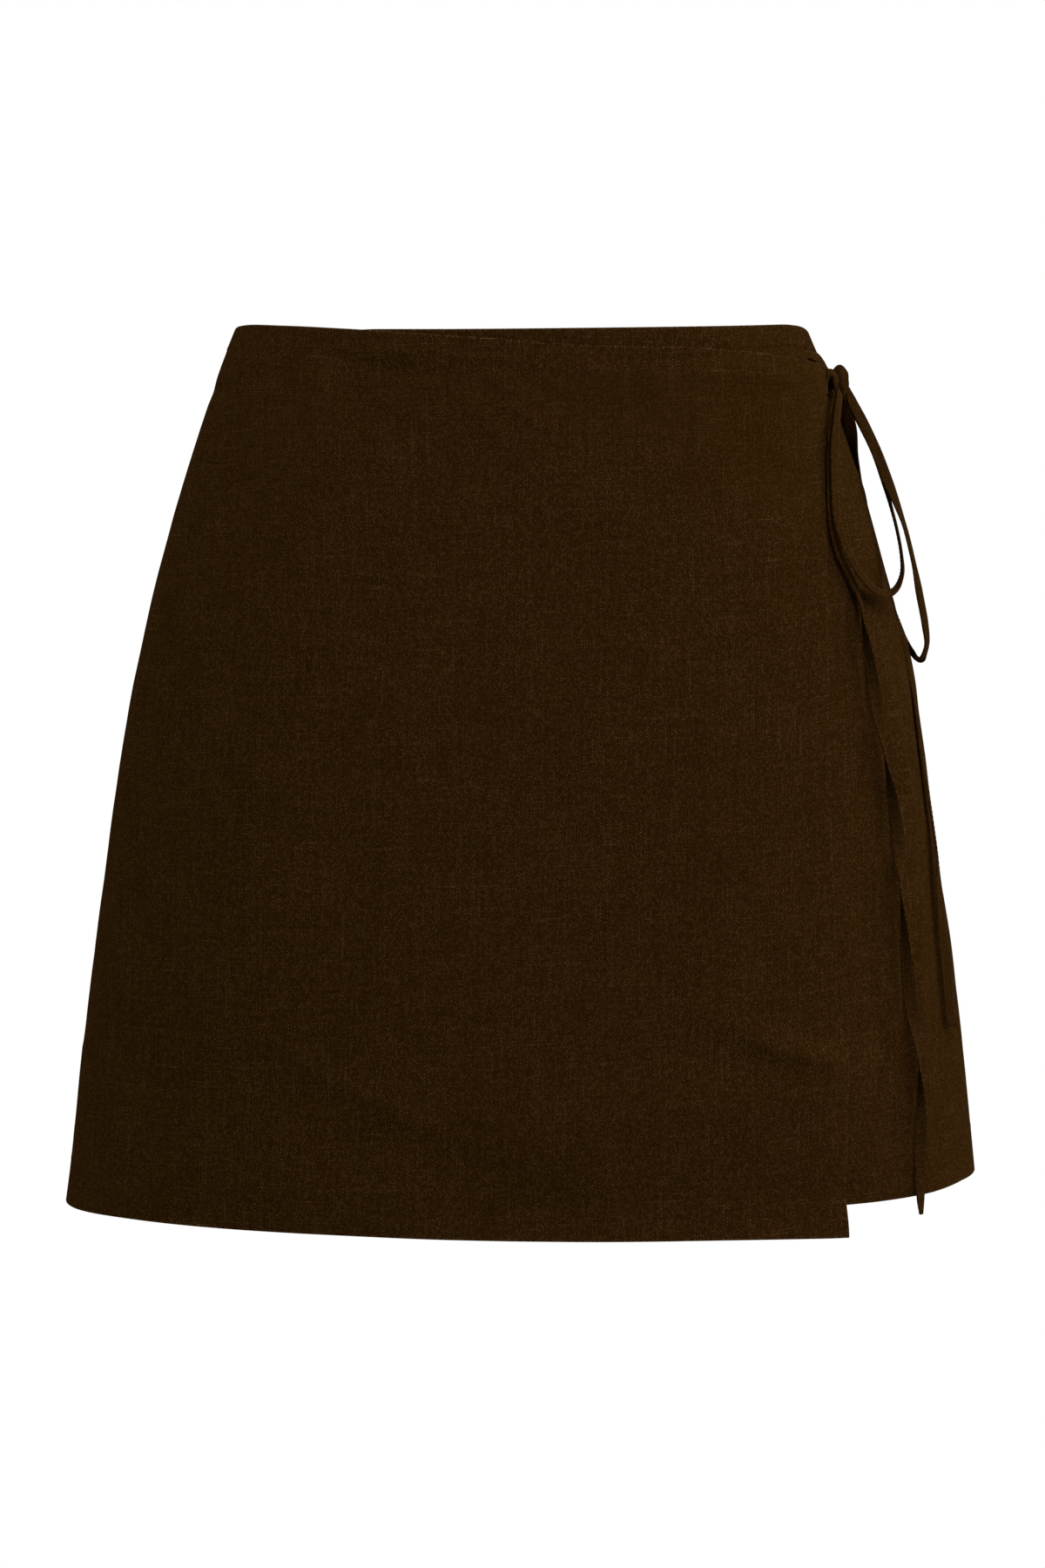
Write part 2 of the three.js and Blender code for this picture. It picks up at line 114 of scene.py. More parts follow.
OVERLAP_FOLDS = table(FOLD_COLUMNS, [
    (-28, 0.009, 12, 0.015, 0.006, 0.0015), (-18, 0.002, 38, 0.008, 0.005, 0.0010),
    (24, 0.303, 43, 0.327, 0.009, 0.0016), (40, 0.345, 43, 0.400, 0.014, 0.0018),
    (57, 0.070, 49, 0.160, 0.009, 0.0012), (84, 0.020, 74, 0.030, 0.012, 0.0012),
])

# Creases pressed or worn into each panel. They bow sideways in their middle and fade towards their ends.
CREASE_COLUMNS = FOLD_COLUMNS + " bow"
OVERLAP_CREASES = table(CREASE_COLUMNS, [
    # puckers below the middle of the top edge
    (-7, 0.018, 4, 0.032, 0.0028, 0.00170, 0.001), (-3, 0.029, 6, 0.045, 0.0030, 0.00200, 0.002),
    (-10, 0.029, -3, 0.050, 0.0030, 0.00160, 0.001), (1, 0.021, 10, 0.038, 0.0026, -0.00110, 0.001),
    # drags from the ties towards the other side
    (-42, 0.010, -12, 0.021, 0.0032, -0.00105, 0.002), (-36, 0.024, -12, 0.052, 0.0060, -0.00120, 0.004),
    (8, 0.017, 66, 0.026, 0.0030, 0.00060, -0.002), (30, 0.030, 78, 0.024, 0.0026, -0.00052, 0.002),
    (52, 0.044, 72, 0.029, 0.0026, 0.00068, 0.001), (44, 0.070, 62, 0.046, 0.0040, -0.00060, 0.003),
    (-88, 0.030, -60, 0.022, 0.0040, -0.00075, 0.003),
    # worn-in creases of the middle
    (-6.5, 0.167, 4, 0.171, 0.0022, 0.00130, 0.001), (4.2, 0.250, 4.6, 0.300, 0.0016, -0.00068, 0.000),
    (-53, 0.120, -34, 0.192, 0.0120, -0.00110, 0.008), (13.5, 0.258, 28, 0.214, 0.0070, 0.00190, 0.002),
    (-30, 0.299, -21, 0.281, 0.0018, -0.00068, 0.002), (-14, 0.205, 9, 0.236, 0.0080, 0.00082, 0.005),
    (12, 0.105, 30, 0.160, 0.0090, -0.00082, -0.005), (26, 0.205, 37, 0.262, 0.0070, 0.00082, 0.003),
    # low creases
    (9.5, 0.333, 27, 0.293, 0.0016, -0.00090, 0.002), (26.6, 0.292, 24.6, 0.328, 0.0013, -0.00075, 0.000),
    (19.6, 0.350, 20.6, 0.404, 0.0028, -0.00110, 0.001), (-9, 0.337, 6, 0.364, 0.0045, 0.00090, 0.003),
    (29, 0.311, 44, 0.326, 0.0044, 0.00260, 0.002), (-36, 0.311, 5, 0.371, 0.0050, 0.00110, 0.003),
    (-72, 0.300, -50, 0.345, 0.0110, -0.00110, 0.006), (-24, 0.352, -14, 0.392, 0.0080, -0.00105, 0.003),
    (-78, 0.150, -66, 0.260, 0.0100, 0.00105, 0.004), (-89, -0.040, -88, 0.330, 0.0160, -0.00135, 0.000),
])
UNDER_CREASES = table(CREASE_COLUMNS, [
    (44, 0.004, 72, 0.010, 0.0030, -0.00068, 0.001), (0, 0.003, 40, 0.006, 0.0026, -0.00052, 0.001),
    (62, 0.060, 74, 0.031, 0.0028, 0.00075, 0.002), (60, 0.120, 66, 0.215, 0.0050, -0.00165, 0.003),
    (70, 0.140, 72, 0.250, 0.0060, 0.00120, 0.002), (52, 0.230, 55, 0.372, 0.0050, -0.00090, 0.001),
    (67, 0.350, 68, 0.386, 0.0040, -0.00105, 0.001), (58, 0.262, 66, 0.234, 0.0026, -0.00060, 0.002),
    (-60, 0.080, -30, 0.060, 0.0050, -0.00075, 0.003), (-40, 0.180, -10, 0.240, 0.0080, -0.00105, 0.004),
])
BACK_CREASES = table(CREASE_COLUMNS, [
    (80, 0.030, 104, 0.046, 0.0035, -0.00090, 0.003), (79, 0.055, 96, 0.083, 0.0050, 0.00090, 0.004),
    (118, 0.024, 142, 0.020, 0.0026, -0.00068, 0.001), (158, 0.030, 200, 0.034, 0.0030, -0.00090, 0.003),
    (165, 0.047, 192, 0.053, 0.0035, 0.00075, 0.004), (216, 0.022, 246, 0.030, 0.0030, -0.00075, 0.002),
    (236, 0.058, 262, 0.040, 0.0040, -0.00090, 0.003), (104, 0.150, 122, 0.205, 0.0090, -0.00150, 0.005),
    (150, 0.165, 176, 0.196, 0.0070, -0.00120, 0.005), (186, 0.202, 216, 0.168, 0.0075, -0.00135, 0.006),
    (228, 0.140, 247, 0.216, 0.0090, -0.00135, 0.005), (150, 0.212, 196, 0.219, 0.0050, 0.00090, 0.004),
    (102, 0.300, 108, 0.384, 0.0080, -0.00165, 0.004), (188, 0.262, 192, 0.390, 0.0110, -0.00195, 0.004),
    (240, 0.280, 247, 0.396, 0.0100, -0.00180, 0.003), (128, 0.345, 150, 0.330, 0.0030, -0.00075, 0.002),
    (202, 0.352, 224, 0.338, 0.0028, 0.00075, 0.002),
])

# Waist darts of the back: a stitched line from the waist to its point
DARTS = table("angle_from angle_to length", [(148, 143, 0.112), (212, 217, 0.112)])

# The ties. A row is a point of the tape's middle line, its width as a share of the full one,
# and its twist in degrees: 0 is edge-on from the front, 90 flat to the front.
TAPE_COLUMNS = "x y z width twist"
TIE_OVERLAP_ROOT = table(TAPE_COLUMNS, [
    (0.1357, -0.0238, -0.0232, 0.90, 88), (0.1384, -0.0172, -0.0234, 0.85, 90),
    (0.1408, -0.0136, -0.0240, 0.70, 92), (0.1434, -0.0112, -0.0247, 0.50, 94),
])
TIE_SIDE_ROOT = table(TAPE_COLUMNS, [
    (0.1284, -0.0262, -0.0126, 0.62, 54), (0.1325, -0.0200, -0.0136, 0.88, 46),
    (0.1352, -0.0142, -0.0152, 0.90, 36), (0.1375, -0.0092, -0.0178, 0.85, 25),
    (0.1395, -0.0080, -0.0208, 0.70, 16), (0.1420, -0.0088, -0.0236, 0.50, 12),
])
LOOP_FRONT = table(TAPE_COLUMNS, [
    (0.1446, -0.0124, -0.0284, 0.43, 4), (0.1446, -0.0190, -0.0315, 0.8, 32),
    (0.1430, -0.0330, -0.0402, 0.9, 38), (0.1418, -0.0425, -0.0498, 0.97, 38),
    (0.1413, -0.0494, -0.0606, 1, 36), (0.1413, -0.0544, -0.0714, 1, 36),
    (0.1420, -0.0600, -0.0846, 1, 34), (0.1453, -0.0615, -0.0971, 1, 32),
    (0.1513, -0.0592, -0.1090, 1, 30), (0.1583, -0.0525, -0.1172, 1, 28),
    (0.1648, -0.0410, -0.1204, 1, 26), (0.1700, -0.0310, -0.1183, 1, 16),
    (0.1731, -0.0220, -0.1121, 1, 8), (0.1732, -0.0150, -0.1041, 1, 4),
    (0.1715, -0.0090, -0.0932, 1, 4), (0.1689, -0.0050, -0.0826, 1, 6),
    (0.1653, -0.0024, -0.0703, 1, 14), (0.1611, -0.0014, -0.0584, 0.9, 14),
    (0.1559, -0.0018, -0.0467, 0.8, 30), (0.1510, -0.0036, -0.0367, 0.7, 44),
    (0.1478, -0.0052, -0.0286, 0.43, 0),
])
LOOP_BACK = table(TAPE_COLUMNS, [
    (0.1482, -0.0116, -0.0284, 0.45, 50), (0.1507, -0.0106, -0.0345, 0.78, 58),
    (0.1564, -0.0094, -0.0457, 0.95, 58), (0.1622, -0.0084, -0.0581, 1, 54),
    (0.1664, -0.0076, -0.0689, 1, 50), (0.1713, -0.0064, -0.0809, 1, 30),
    (0.1753, -0.0052, -0.0922, 1, 16), (0.1792, -0.0032, -0.1074, 1, 16),
    (0.1824, -0.0008, -0.1232, 1, 32), (0.1851, 0.0024, -0.1369, 1, 30),
    (0.1861, 0.0060, -0.1464, 1, 20), (0.1835, 0.0120, -0.1534, 1, 24),
    (0.1794, 0.0180, -0.1499, 1, 22), (0.1748, 0.0212, -0.1400, 1, 8),
    (0.1699, 0.0267, -0.1260, 1, 0), (0.1648, 0.0293, -0.1100, 1, 0),
    (0.1601, 0.0294, -0.0940, 1, 0), (0.1556, 0.0283, -0.0780, 0.93, 0),
    (0.1516, 0.0261, -0.0640, 0.92, 30), (0.1489, 0.0222, -0.0520, 0.97, 70),
    (0.1476, 0.0138, -0.0410, 0.9, 74), (0.1471, 0.0029, -0.0335, 0.7, 60),
    (0.1449, -0.0036, -0.0288, 0.4, 0),
])
TAIL_LONG = table(TAPE_COLUMNS, [
    (0.1419, -0.0126, -0.0286, 0.4, 20), (0.1422, -0.0200, -0.0315, 0.53, 34),
    (0.1408, -0.0320, -0.0414, 0.73, 36), (0.1400, -0.0419, -0.0538, 0.9, 38),
    (0.1397, -0.0502, -0.0685, 1, 38), (0.1400, -0.0577, -0.0847, 1, 38),
    (0.1426, -0.0600, -0.0995, 1, 34), (0.1482, -0.0582, -0.1122, 1, 26),
    (0.1526, -0.0570, -0.1232, 1, 10), (0.1540, -0.0595, -0.1325, 1, -8),
    (0.1559, -0.0618, -0.1434, 1, -36), (0.1578, -0.0634, -0.1543, 1, -56),
    (0.1594, -0.0661, -0.1686, 1, -100), (0.1621, -0.0667, -0.1843, 1, -158),
    (0.1645, -0.0669, -0.1964, 1, -190), (0.1672, -0.0662, -0.2106, 1, -228),
    (0.1692, -0.0670, -0.2254, 1, -262), (0.1699, -0.0687, -0.2370, 1, -308),
    (0.1706, -0.0697, -0.2463, 1, -342), (0.1715, -0.0716, -0.2602, 1, -372),
    (0.1728, -0.0729, -0.2758, 1, -404), (0.1739, -0.0735, -0.2882, 1, -424),
    (0.1754, -0.0748, -0.3037, 1, -456), (0.1776, -0.0745, -0.3186, 1, -508),
    (0.1793, -0.0753, -0.3318, 1, -540), (0.1802, -0.0758, -0.3443, 1, -574),
    (0.1799, -0.0781, -0.3565, 1, -610), (0.1796, -0.0804, -0.3687, 1, -640),
    (0.1796, -0.0813, -0.3811, 1, -664), (0.1797, -0.0805, -0.3913, 0.9, -684),
    (0.1800, -0.0805, -0.3980, 0.37, -690),
])
TAIL_SHORT = table(TAPE_COLUMNS, [
    (0.1416, -0.0040, -0.0286, 0.6, -50), (0.1466, 0.0006, -0.0360, 0.9, -78),
    (0.1505, 0.0050, -0.0460, 0.95, -78), (0.1529, 0.0110, -0.0600, 0.83, -34),
    (0.1564, 0.0168, -0.0760, 0.9, -12), (0.1614, 0.0188, -0.0940, 1, -10),
    (0.1664, 0.0184, -0.1120, 1, -8), (0.1710, 0.0146, -0.1280, 1, -4),
    (0.1754, 0.0050, -0.1440, 1, 26), (0.1785, -0.0070, -0.1600, 1, 24),
    (0.1805, -0.0166, -0.1760, 1, 14), (0.1827, -0.0222, -0.1940, 1, 20),
    (0.1853, -0.0242, -0.2120, 1, 8), (0.1877, -0.0260, -0.2280, 1, 4),
    (0.1894, -0.0289, -0.2420, 1, 6), (0.1899, -0.0336, -0.2544, 1, 26),
    (0.1908, -0.0366, -0.2676, 1, 42), (0.1922, -0.0384, -0.2813, 1, 50),
    (0.1934, -0.0400, -0.2949, 1, 52), (0.1945, -0.0408, -0.3067, 1, 54),
    (0.1956, -0.0416, -0.3173, 1, 56),
])

# The knot: a tight core, a small ring of tape in front of it and a rounded fold of tape over its outer side
KNOT_CENTRE = np.array((0.1436, -0.0092, -0.0268))
KNOT_RADII = np.array((0.0058, 0.0037, 0.0066))
KNOT_RING = table(TAPE_COLUMNS, [
    (0.1412, -0.0176, -0.0318, 0.55, 16), (0.1391, -0.0194, -0.0308, 0.66, 22),
    (0.1377, -0.0210, -0.0284, 0.76, 28), (0.1375, -0.0216, -0.0254, 0.84, 33),
    (0.1384, -0.0210, -0.0226, 0.88, 34), (0.1403, -0.0198, -0.0214, 0.90, 34),
    (0.1421, -0.0182, -0.0225, 0.88, 32), (0.1430, -0.0170, -0.0252, 0.84, 29),
    (0.1431, -0.0164, -0.0286, 0.72, 22), (0.1426, -0.0162, -0.0318, 0.55, 14),
])
KNOT_FOLD = {
    "x": 0.1450, "y": -0.0096, "z": -0.0262, "deep": 0.0050, "high": 0.0080, "lean": 0.0006,
    "curl": 0.0034, "fullness": 0.9,
}

# Real lengths of the bow's tapes along their middle lines, and where they leave the knot
CORDS = {
    "bow_loop_front": (LOOP_FRONT, 0.2456, "object"),
    "bow_loop_back": (LOOP_BACK, 0.2846, "object"),
    "bow_tail_long": (TAIL_LONG, 0.3940, "bare"),
    "bow_tail_short": (TAIL_SHORT, 0.3127, "bare"),
}

# Side seams' pressed-open edges: the seam's angle, the drops where they begin and end, and whether the inner
# tie comes out through the seam
SEAMS = {
    "left_seam_allowance": (LEFT_SEAM_ANGLE, 0.0015, 0.3875, True),
    "right_seam_allowance": (RIGHT_SEAM_ANGLE, 0.0055, 0.4005, False),
}
ALLOWANCE_DEPTH = 0.72 * MM      # beneath the panels' outside
ALLOWANCE_CLOTH = 0.50 * MM

# Where the soft lamps stand. Each one's power is the stage's value of the same name.
LAMPS = {
    "key": (1.1, -2.2, 2.4),
    "side": (2.4, 0.9, 0.5),
    "rim": (-2.4, 1.3, 1.5),
    "back": (-0.5, 2.9, 1.8),
}
LAMPS_AIM = (0, 0, -0.2)

ARC_PER_DEGREE = 0.0026          # of the hips
WAIST_ARC_PER_DEGREE = 0.0024
SLANT = 1.03                     # length of cloth to its drop, near the waist
HEM_DROP = 0.400
SEAM_GAP = 0.0001                # the edges of two panels all but meet
HALF_GAP = SEAM_GAP / 2 / ARC_PER_DEGREE
LAYER_LIFT = 0.0005              # between the under front and the overlap
WALL = 0.0013                    # from a panel's inner reference to its outside
CLEAR_OF_END = 2                 # degrees by which the overlap is up before the hidden end
EDGE_STEPS = np.array((0.05, 0.15, 0.32, 0.5, 0.7, 1.1, 1.7, 2.6)) * MM
TURNING_PRINT = 0.09 * MM        # height of the line where a turned edge ends
SEAM_ROLL = 0.80 * MM            # how far a seamed edge rolls in
DOUBLED_STIFFNESS = 0.65         # share of its creases that doubled cloth loses
RIM_REACH = 1.3 * MM             # how far from their lines the print and the roll show
FOLD_REACH = 0.75 * MM           # how far from a folded edge the painted highlight reaches
SLIT_DROP, SLIT_HALF_LENGTH, SLIT_HALF_WIDTH = 0.0130, 0.0044, 0.0026
RECESS_ANGLE, RECESS_DEPTH, RECESS_REACH = LEFT_SEAM_ANGLE + 0.4, 0.0036, 0.0048
POCKET_DEPTH = 0.0032            # of the seam's edges behind the slit
BACKWARDS = np.array((0.0, 1.0, 0.0))
SIDEWAYS = np.array((1.0, 0.0, 0.0))
BOW_SECTION_SIDES = 20


class SkirtCloth(bpy.types.PropertyGroup):
    """Sizes and colours of the panels."""
    cloth: FloatProperty(name="Cloth", description="Thickness of one layer", default=0.65 * MM, unit="LENGTH")
    hem: FloatProperty(name="Hem", description="Depth of the turned hem", default=0.021, unit="LENGTH")
    turning: FloatProperty(name="Turning", description="Depth of the turned edge at the waist and free edge",
                           default=0.010, unit="LENGTH")
    seam_allowance: FloatProperty(name="Seam allowance", description="Width of a seam's pressed-open edge",
                                  default=0.010, unit="LENGTH")
    warp: FloatProperty(name="Warp spacing", description="From one warp thread to the next",
                        default=0.60 * MM, unit="LENGTH")
    weft: FloatProperty(name="Weft spacing", description="From one weft thread to the next",
                        default=0.80 * MM, unit="LENGTH")
    colour: FloatVectorProperty(name="Colour", description="Dyed linen", subtype="COLOR", size=3,
                                default=srgb("#1b0e02"))


class SkirtTies(bpy.types.PropertyGroup):
    """Sizes and colours of the ties."""
    width: FloatProperty(name="Width", description="Width of the flat tape", default=6 * MM, unit="LENGTH")
    thickness: FloatProperty(name="Thickness", description="Thickness of the folded tape", default=1.1 * MM,
                             unit="LENGTH")
    stitch: FloatProperty(name="Stitch", description="Length of a stitch along the tape's edge",
                          default=1.7 * MM, unit="LENGTH")
    stitch_spacing: FloatProperty(name="Stitch spacing", description="From one stitch to the next",
                                  default=2.3 * MM, unit="LENGTH")
    thread: FloatProperty(name="Thread", description="Thickness of the sewing thread", default=0.32 * MM,
                          unit="LENGTH")
    colour: FloatVectorProperty(name="Colour", description="Dyed linen tape", subtype="COLOR", size=3,
                                default=srgb("#1b0e02"))
    thread_colour: FloatVectorProperty(name="Thread colour", description="Sewing thread", subtype="COLOR",
                                       size=3, default=srgb("#281705"))


class SkirtStage(bpy.types.PropertyGroup):
    """The camera, floor and light."""
    distance: FloatProperty(name="Distance", description="From the camera to the skirt's middle",
                            default=3.365, unit="LENGTH")
    sideways: FloatProperty(name="Sideways", description="Of the camera from the middle, to the right",
                            default=0.0005, unit="LENGTH")
    height: FloatProperty(name="Height", description="Of the camera above the waist", default=0.060,
                          unit="LENGTH")
    aim: FloatProperty(name="Aim", description="Height of the point that the camera looks at",
                       default=-0.2102, unit="LENGTH")
    lens: FloatProperty(name="Lens", description="Focal length in millimetres", default=168.9)
    floor_drop: FloatProperty(name="Floor", description="From the waist down to the floor", default=3.4,
                              unit="LENGTH")
    floor_radius: FloatProperty(name="Floor radius", description="Radius of the round floor", default=14.0,
                                unit="LENGTH")
    surround: FloatProperty(name="Surround", description="Strength of the white light all round", default=1.0)
    key: FloatProperty(name="Key", description="Power of the soft lamp at the upper right", default=190.0,
                       unit="POWER")
    side: FloatProperty(name="Side", description="Power of the soft lamp at the right, behind", default=120.0,
                        unit="POWER")
    rim: FloatProperty(name="Rim", description="Power of the soft lamp at the left, behind", default=80.0,
                       unit="POWER")
    back: FloatProperty(name="Back", description="Power of the soft lamp behind", default=130.0, unit="POWER")
    lamp: FloatProperty(name="Lamp", description="Width of the lamps", default=1.8, unit="LENGTH")
    floor_sides: IntProperty(name="Floor sides", description="Sides of the round floor", default=96)


def hermite(u, span, start, end, slope_start, slope_end):
    """The cubic from one value to the next with the given slopes at its ends, at a share u of the span."""
    return ((2 * u ** 3 - 3 * u ** 2 + 1) * start + (u ** 3 - 2 * u ** 2 + u) * span * slope_start
            + (3 * u ** 2 - 2 * u ** 3) * end + (u ** 3 - u ** 2) * span * slope_end)


def along(rows, by, column, at):
    """A column's value at a place, on a curve through the rows that never overshoots. Each span is a cubic,
    and its end slopes are the harmonic mean of the straight rises on either side, or nought at a turn."""
    x, y = rows[by], rows[column]
    rise = np.diff(y) / np.diff(x)
    before, after = rise[:-1], rise[1:]
    turning = before * after <= 0
    inner = np.where(turning, 0.0, 2 * before * after / np.where(turning, 1.0, before + after))
    slope = np.concatenate([rise[:1], inner, rise[-1:]])
    place = np.clip(at, x[0], x[-1])
    i = np.clip(np.searchsorted(x, place, side="right") - 1, 0, len(x) - 2)
    span = x[i + 1] - x[i]
    return hermite((place - x[i]) / span, span, y[i], y[i + 1], slope[i], slope[i + 1])


def smooth(low, high, at):
    """0 below low, 1 above high, and 3t^2 - 2t^3 between."""
    t = np.clip((at - low) / (high - low), 0, 1)
    return t * t * (3 - 2 * t)


def fold_height(folds, angle, drop):
    """The sum of soft folds, each its height times exp(-(distance / half width)^2). The distance runs over
    the unrolled cloth to the line between the fold's ends. A fold with a bow has that line bent sideways by
    bow * 4t(1 - t), and its height fades as the root of 4t(1 - t) towards its ends."""
    x, y = np.asarray(angle) * ARC_PER_DEGREE, np.asarray(drop)
    bows = folds.get("bow", np.full(len(folds["height"]), np.nan))
    total = np.zeros(np.broadcast(x, y).shape)
    for x0, y0, x1, y1, half_width, height, bow in zip(
            folds["angle_from"] * ARC_PER_DEGREE, folds["drop_from"], folds["angle_to"] * ARC_PER_DEGREE,
            folds["drop_to"], folds["half_width"], folds["height"], bows):
        length = math.hypot(x1 - x0, y1 - y0)
        run = ((x1 - x0) / length, (y1 - y0) / length)
        forward = (x - x0) * run[0] + (y - y0) * run[1]
        sideways = (y - y0) * run[0] - (x - x0) * run[1]
        share = np.clip(forward / length, 0, 1)
        beyond = forward - share * length
        arch = 4 * share * (1 - share)
        if math.isnan(bow):
            fade = 1.0
        else:
            sideways = sideways - bow * arch
            fade = np.sqrt(arch)
        total += height * fade * np.exp(-(sideways ** 2 + beyond ** 2) / half_width ** 2)
    return total


def form_point(angle, drop, outwards):
    """A point of the body's oval: x = half width * sin(angle), y = -depth * cos(angle), z = -drop, moved
    outwards along the oval's level normal by a distance and the form's folds."""
    turn = np.radians(angle)
    half_width = along(SECTIONS, "drop", "half_width", drop)
    depth = np.where(np.cos(turn) > 0, along(SECTIONS, "drop", "front", drop),
                     along(SECTIONS, "drop", "back", drop))
    normal_x, normal_y = depth * np.sin(turn), -half_width * np.cos(turn)
    out = (outwards + fold_height(FORM_FOLDS, angle, drop)) / np.hypot(normal_x, normal_y)
    return np.stack([half_width * np.sin(turn) + out * normal_x, -depth * np.cos(turn) + out * normal_y,
                     -drop + np.zeros_like(turn)], axis=-1)


def cockle(angle, drop):
    """The slight unevenness of pressed linen: waves of about 45 mm and finer ones of about 18 mm, each a
    product of sines across and down the cloth whose phases drift."""
    x, y = angle * ARC_PER_DEGREE, drop
    drift = 1.3 * np.sin(y / 0.019 + x / 0.041)
    broad = np.sin(x / 0.0071 + drift) * np.sin(y / 0.0083 + 1.1 * np.sin(x / 0.023))
    fine = np.sin(x / 0.0027 + 2.1 * np.sin(y / 0.013)) * np.sin(y / 0.0031 + 1.7 * np.sin(x / 0.011))
    return 0.00010 * broad + 0.00003 * fine


def places(length, steps, close):
    """Places from 0 to 1 along a length: even steps, with closer ones at both ends, where the edge rounds
    over, and on both sides of the given distances."""
    beside = [distance + side * EDGE_STEPS for distance in close for side in (-1, 1)]
    near = np.concatenate([EDGE_STEPS, length - EDGE_STEPS, *beside])
    return np.unique(np.round(np.concatenate([np.linspace(0, 1, steps + 1), near / length]), 7))


def rounded_rim(rims, radius):
    """1 in the middle, falling to 0 at each rim along a quarter circle of the radius."""
    share = 1.0
    for distance in rims:
        reach = np.clip(distance / radius, 0, 1)
        share = share * np.sqrt(1 - (1 - reach) ** 2)
    return share


def panel_surfaces(cloth, left, right, top, hem, lift, creases, turnings, size, steps):
    """The outside and inside of a panel as two grids with the same rim. The drop runs from the top edge to
    the hem, the angle from the left edge to the right one. The outside lies on the form at the lift, and the
    inside one layer of cloth within it, or two where the edge is turned in. Both meet in a half round."""
    across = places(size[0], steps[0], [turnings[0], size[0] - turnings[1]])[None, :]
    down = places(size[1], steps[1], [turnings[2], size[1] - turnings[3]])[:, None]
    top_angle = left(0.0) + (right(0.0) - left(0.0)) * across
    hem_angle = left(HEM_DROP) + (right(HEM_DROP) - left(HEM_DROP)) * across
    highest, lowest = along(top, "angle", "drop", top_angle), along(hem, "angle", "drop", hem_angle)
    drop = highest + (lowest - highest) * down
    angle = left(drop) + (right(drop) - left(drop)) * across
    base = form_point(angle, drop, lift(angle, drop) + WALL)
    along_row = np.pad(np.cumsum(np.linalg.norm(np.diff(base, axis=1), axis=2), axis=1), ((0, 0), (1, 0)))
    along_column = np.pad(np.cumsum(np.linalg.norm(np.diff(base, axis=0), axis=2), axis=0), ((1, 0), (0, 0)))
    rims = (along_row, along_row[:, -1:] - along_row, along_column, along_column[-1:] - along_column)

    doubled = np.zeros_like(drop)
    ridge = np.zeros_like(drop)
    rolled = np.zeros_like(drop)
    fold_edge = np.zeros_like(drop)
    for distance, turning in zip(rims, turnings):
        if turning:
            doubled = np.maximum(doubled, 1 - smooth(turning - 0.4 * MM, turning + 0.8 * MM, distance))
            ridge += TURNING_PRINT * np.exp(-((distance - turning) / RIM_REACH) ** 2)
            # fold_edge marks the folded edges for the linen's painted highlight
            fold_edge = np.maximum(fold_edge, np.exp(-(distance / FOLD_REACH) ** 2))
        else:
            pucker = 1 + 0.35 * np.sin(along_column / 0.0080 + 2 * np.sin(along_column / 0.019))
            rolled += SEAM_ROLL * pucker * np.exp(-(distance / RIM_REACH) ** 2)
    thickness = cloth.cloth * (1 + doubled)
    relief = (fold_height(creases, angle, drop) + cockle(angle, drop)) * (1 - DOUBLED_STIFFNESS * doubled)
    outside = lift(angle, drop) + WALL + relief + ridge - rolled + 0.05 * MM * doubled
    lost = thickness / 2 * (1 - rounded_rim(rims, cloth.cloth * 0.8))
    # The weave is laid out from the waist, and sideways from the middle of the front or back
    middles = [round(float(row.mean()) / 180) * 180.0 for row in angle]
    centre = [np.interp(middle, row, length) for middle, row, length in zip(middles, angle, along_row)]
    uv = np.stack([along_row - np.array(centre)[:, None], -(along_column + highest * SLANT)], axis=-1)
    inside = outside - thickness
    return form_point(angle, drop, outside - lost), form_point(angle, drop, inside + lost), uv, fold_edge


def add_piece(name, points, faces, material, uv=None, fold_edge=None):
    """A mesh of points and faces that rides on the body, with its UV map in metres of cloth."""
    mesh = bpy.data.meshes.new(name)
    mesh.from_pydata(points.tolist(), [], [face for group in faces for face in group.tolist()])
    mesh.polygons.foreach_set("use_smooth", np.ones(len(mesh.polygons), dtype=bool))
    if uv is not None:
        corner = np.empty(len(mesh.loops), dtype=np.int32)
        mesh.loops.foreach_get("vertex_index", corner)
        mesh.uv_layers.new(name="cloth").data.foreach_set("uv", uv[corner].astype(np.float32).ravel())
    if fold_edge is not None:
        attribute = mesh.attributes.new("fold_edge", "FLOAT", "POINT")
        attribute.data.foreach_set("value", fold_edge.astype(np.float32))
    mesh.update()
    mesh.materials.append(material)
    piece = bpy.data.objects.new(name, mesh)
    bpy.context.scene.collection.objects.link(piece)
    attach(piece, BODY)
    return piece


def grid_faces(index):
    """Four-sided faces between the rows and columns of a grid of point numbers."""
    return np.stack([index[:-1, :-1], index[1:, :-1], index[1:, 1:], index[:-1, 1:]], axis=-1).reshape(-1, 4)


def shell(outside, inside, *values):
    """One closed body from two grids that share their rim, with a value for each point: the inner grid keeps
    only its points inside the rim, and its faces run the other way round."""
    rows, columns = outside.shape[:2]
    outer = np.arange(rows * columns).reshape(rows, columns)
    within = np.zeros((rows, columns), dtype=bool)
    within[1:-1, 1:-1] = True
    inner = outer.copy()
    inner[within] = rows * columns + np.arange(within.sum())
    points = np.concatenate([outside.reshape(-1, 3), inside[within]])
    spread = [np.concatenate([value.reshape(rows * columns, -1), value[within].reshape(within.sum(), -1)])
              for value in values]
    return points, [grid_faces(outer), grid_faces(inner)[:, ::-1]], spread


def add_node(tree, kind, settings=None, links=None):
    """Adds a node. A setting is one of its properties, or the value of one of its inputs by name or number. A
    link joins a node's first output, or the output given, to one of its inputs."""
    node = tree.nodes.new(kind)
    for key, value in (settings or {}).items():
        if isinstance(key, str) and hasattr(node, key):
            setattr(node, key, value)
        else:
            node.inputs[key].default_value = value
    for key, source in (links or {}).items():
        output = source.outputs[0] if isinstance(source, bpy.types.Node) else source
        tree.links.new(output, node.inputs[key])
    return node


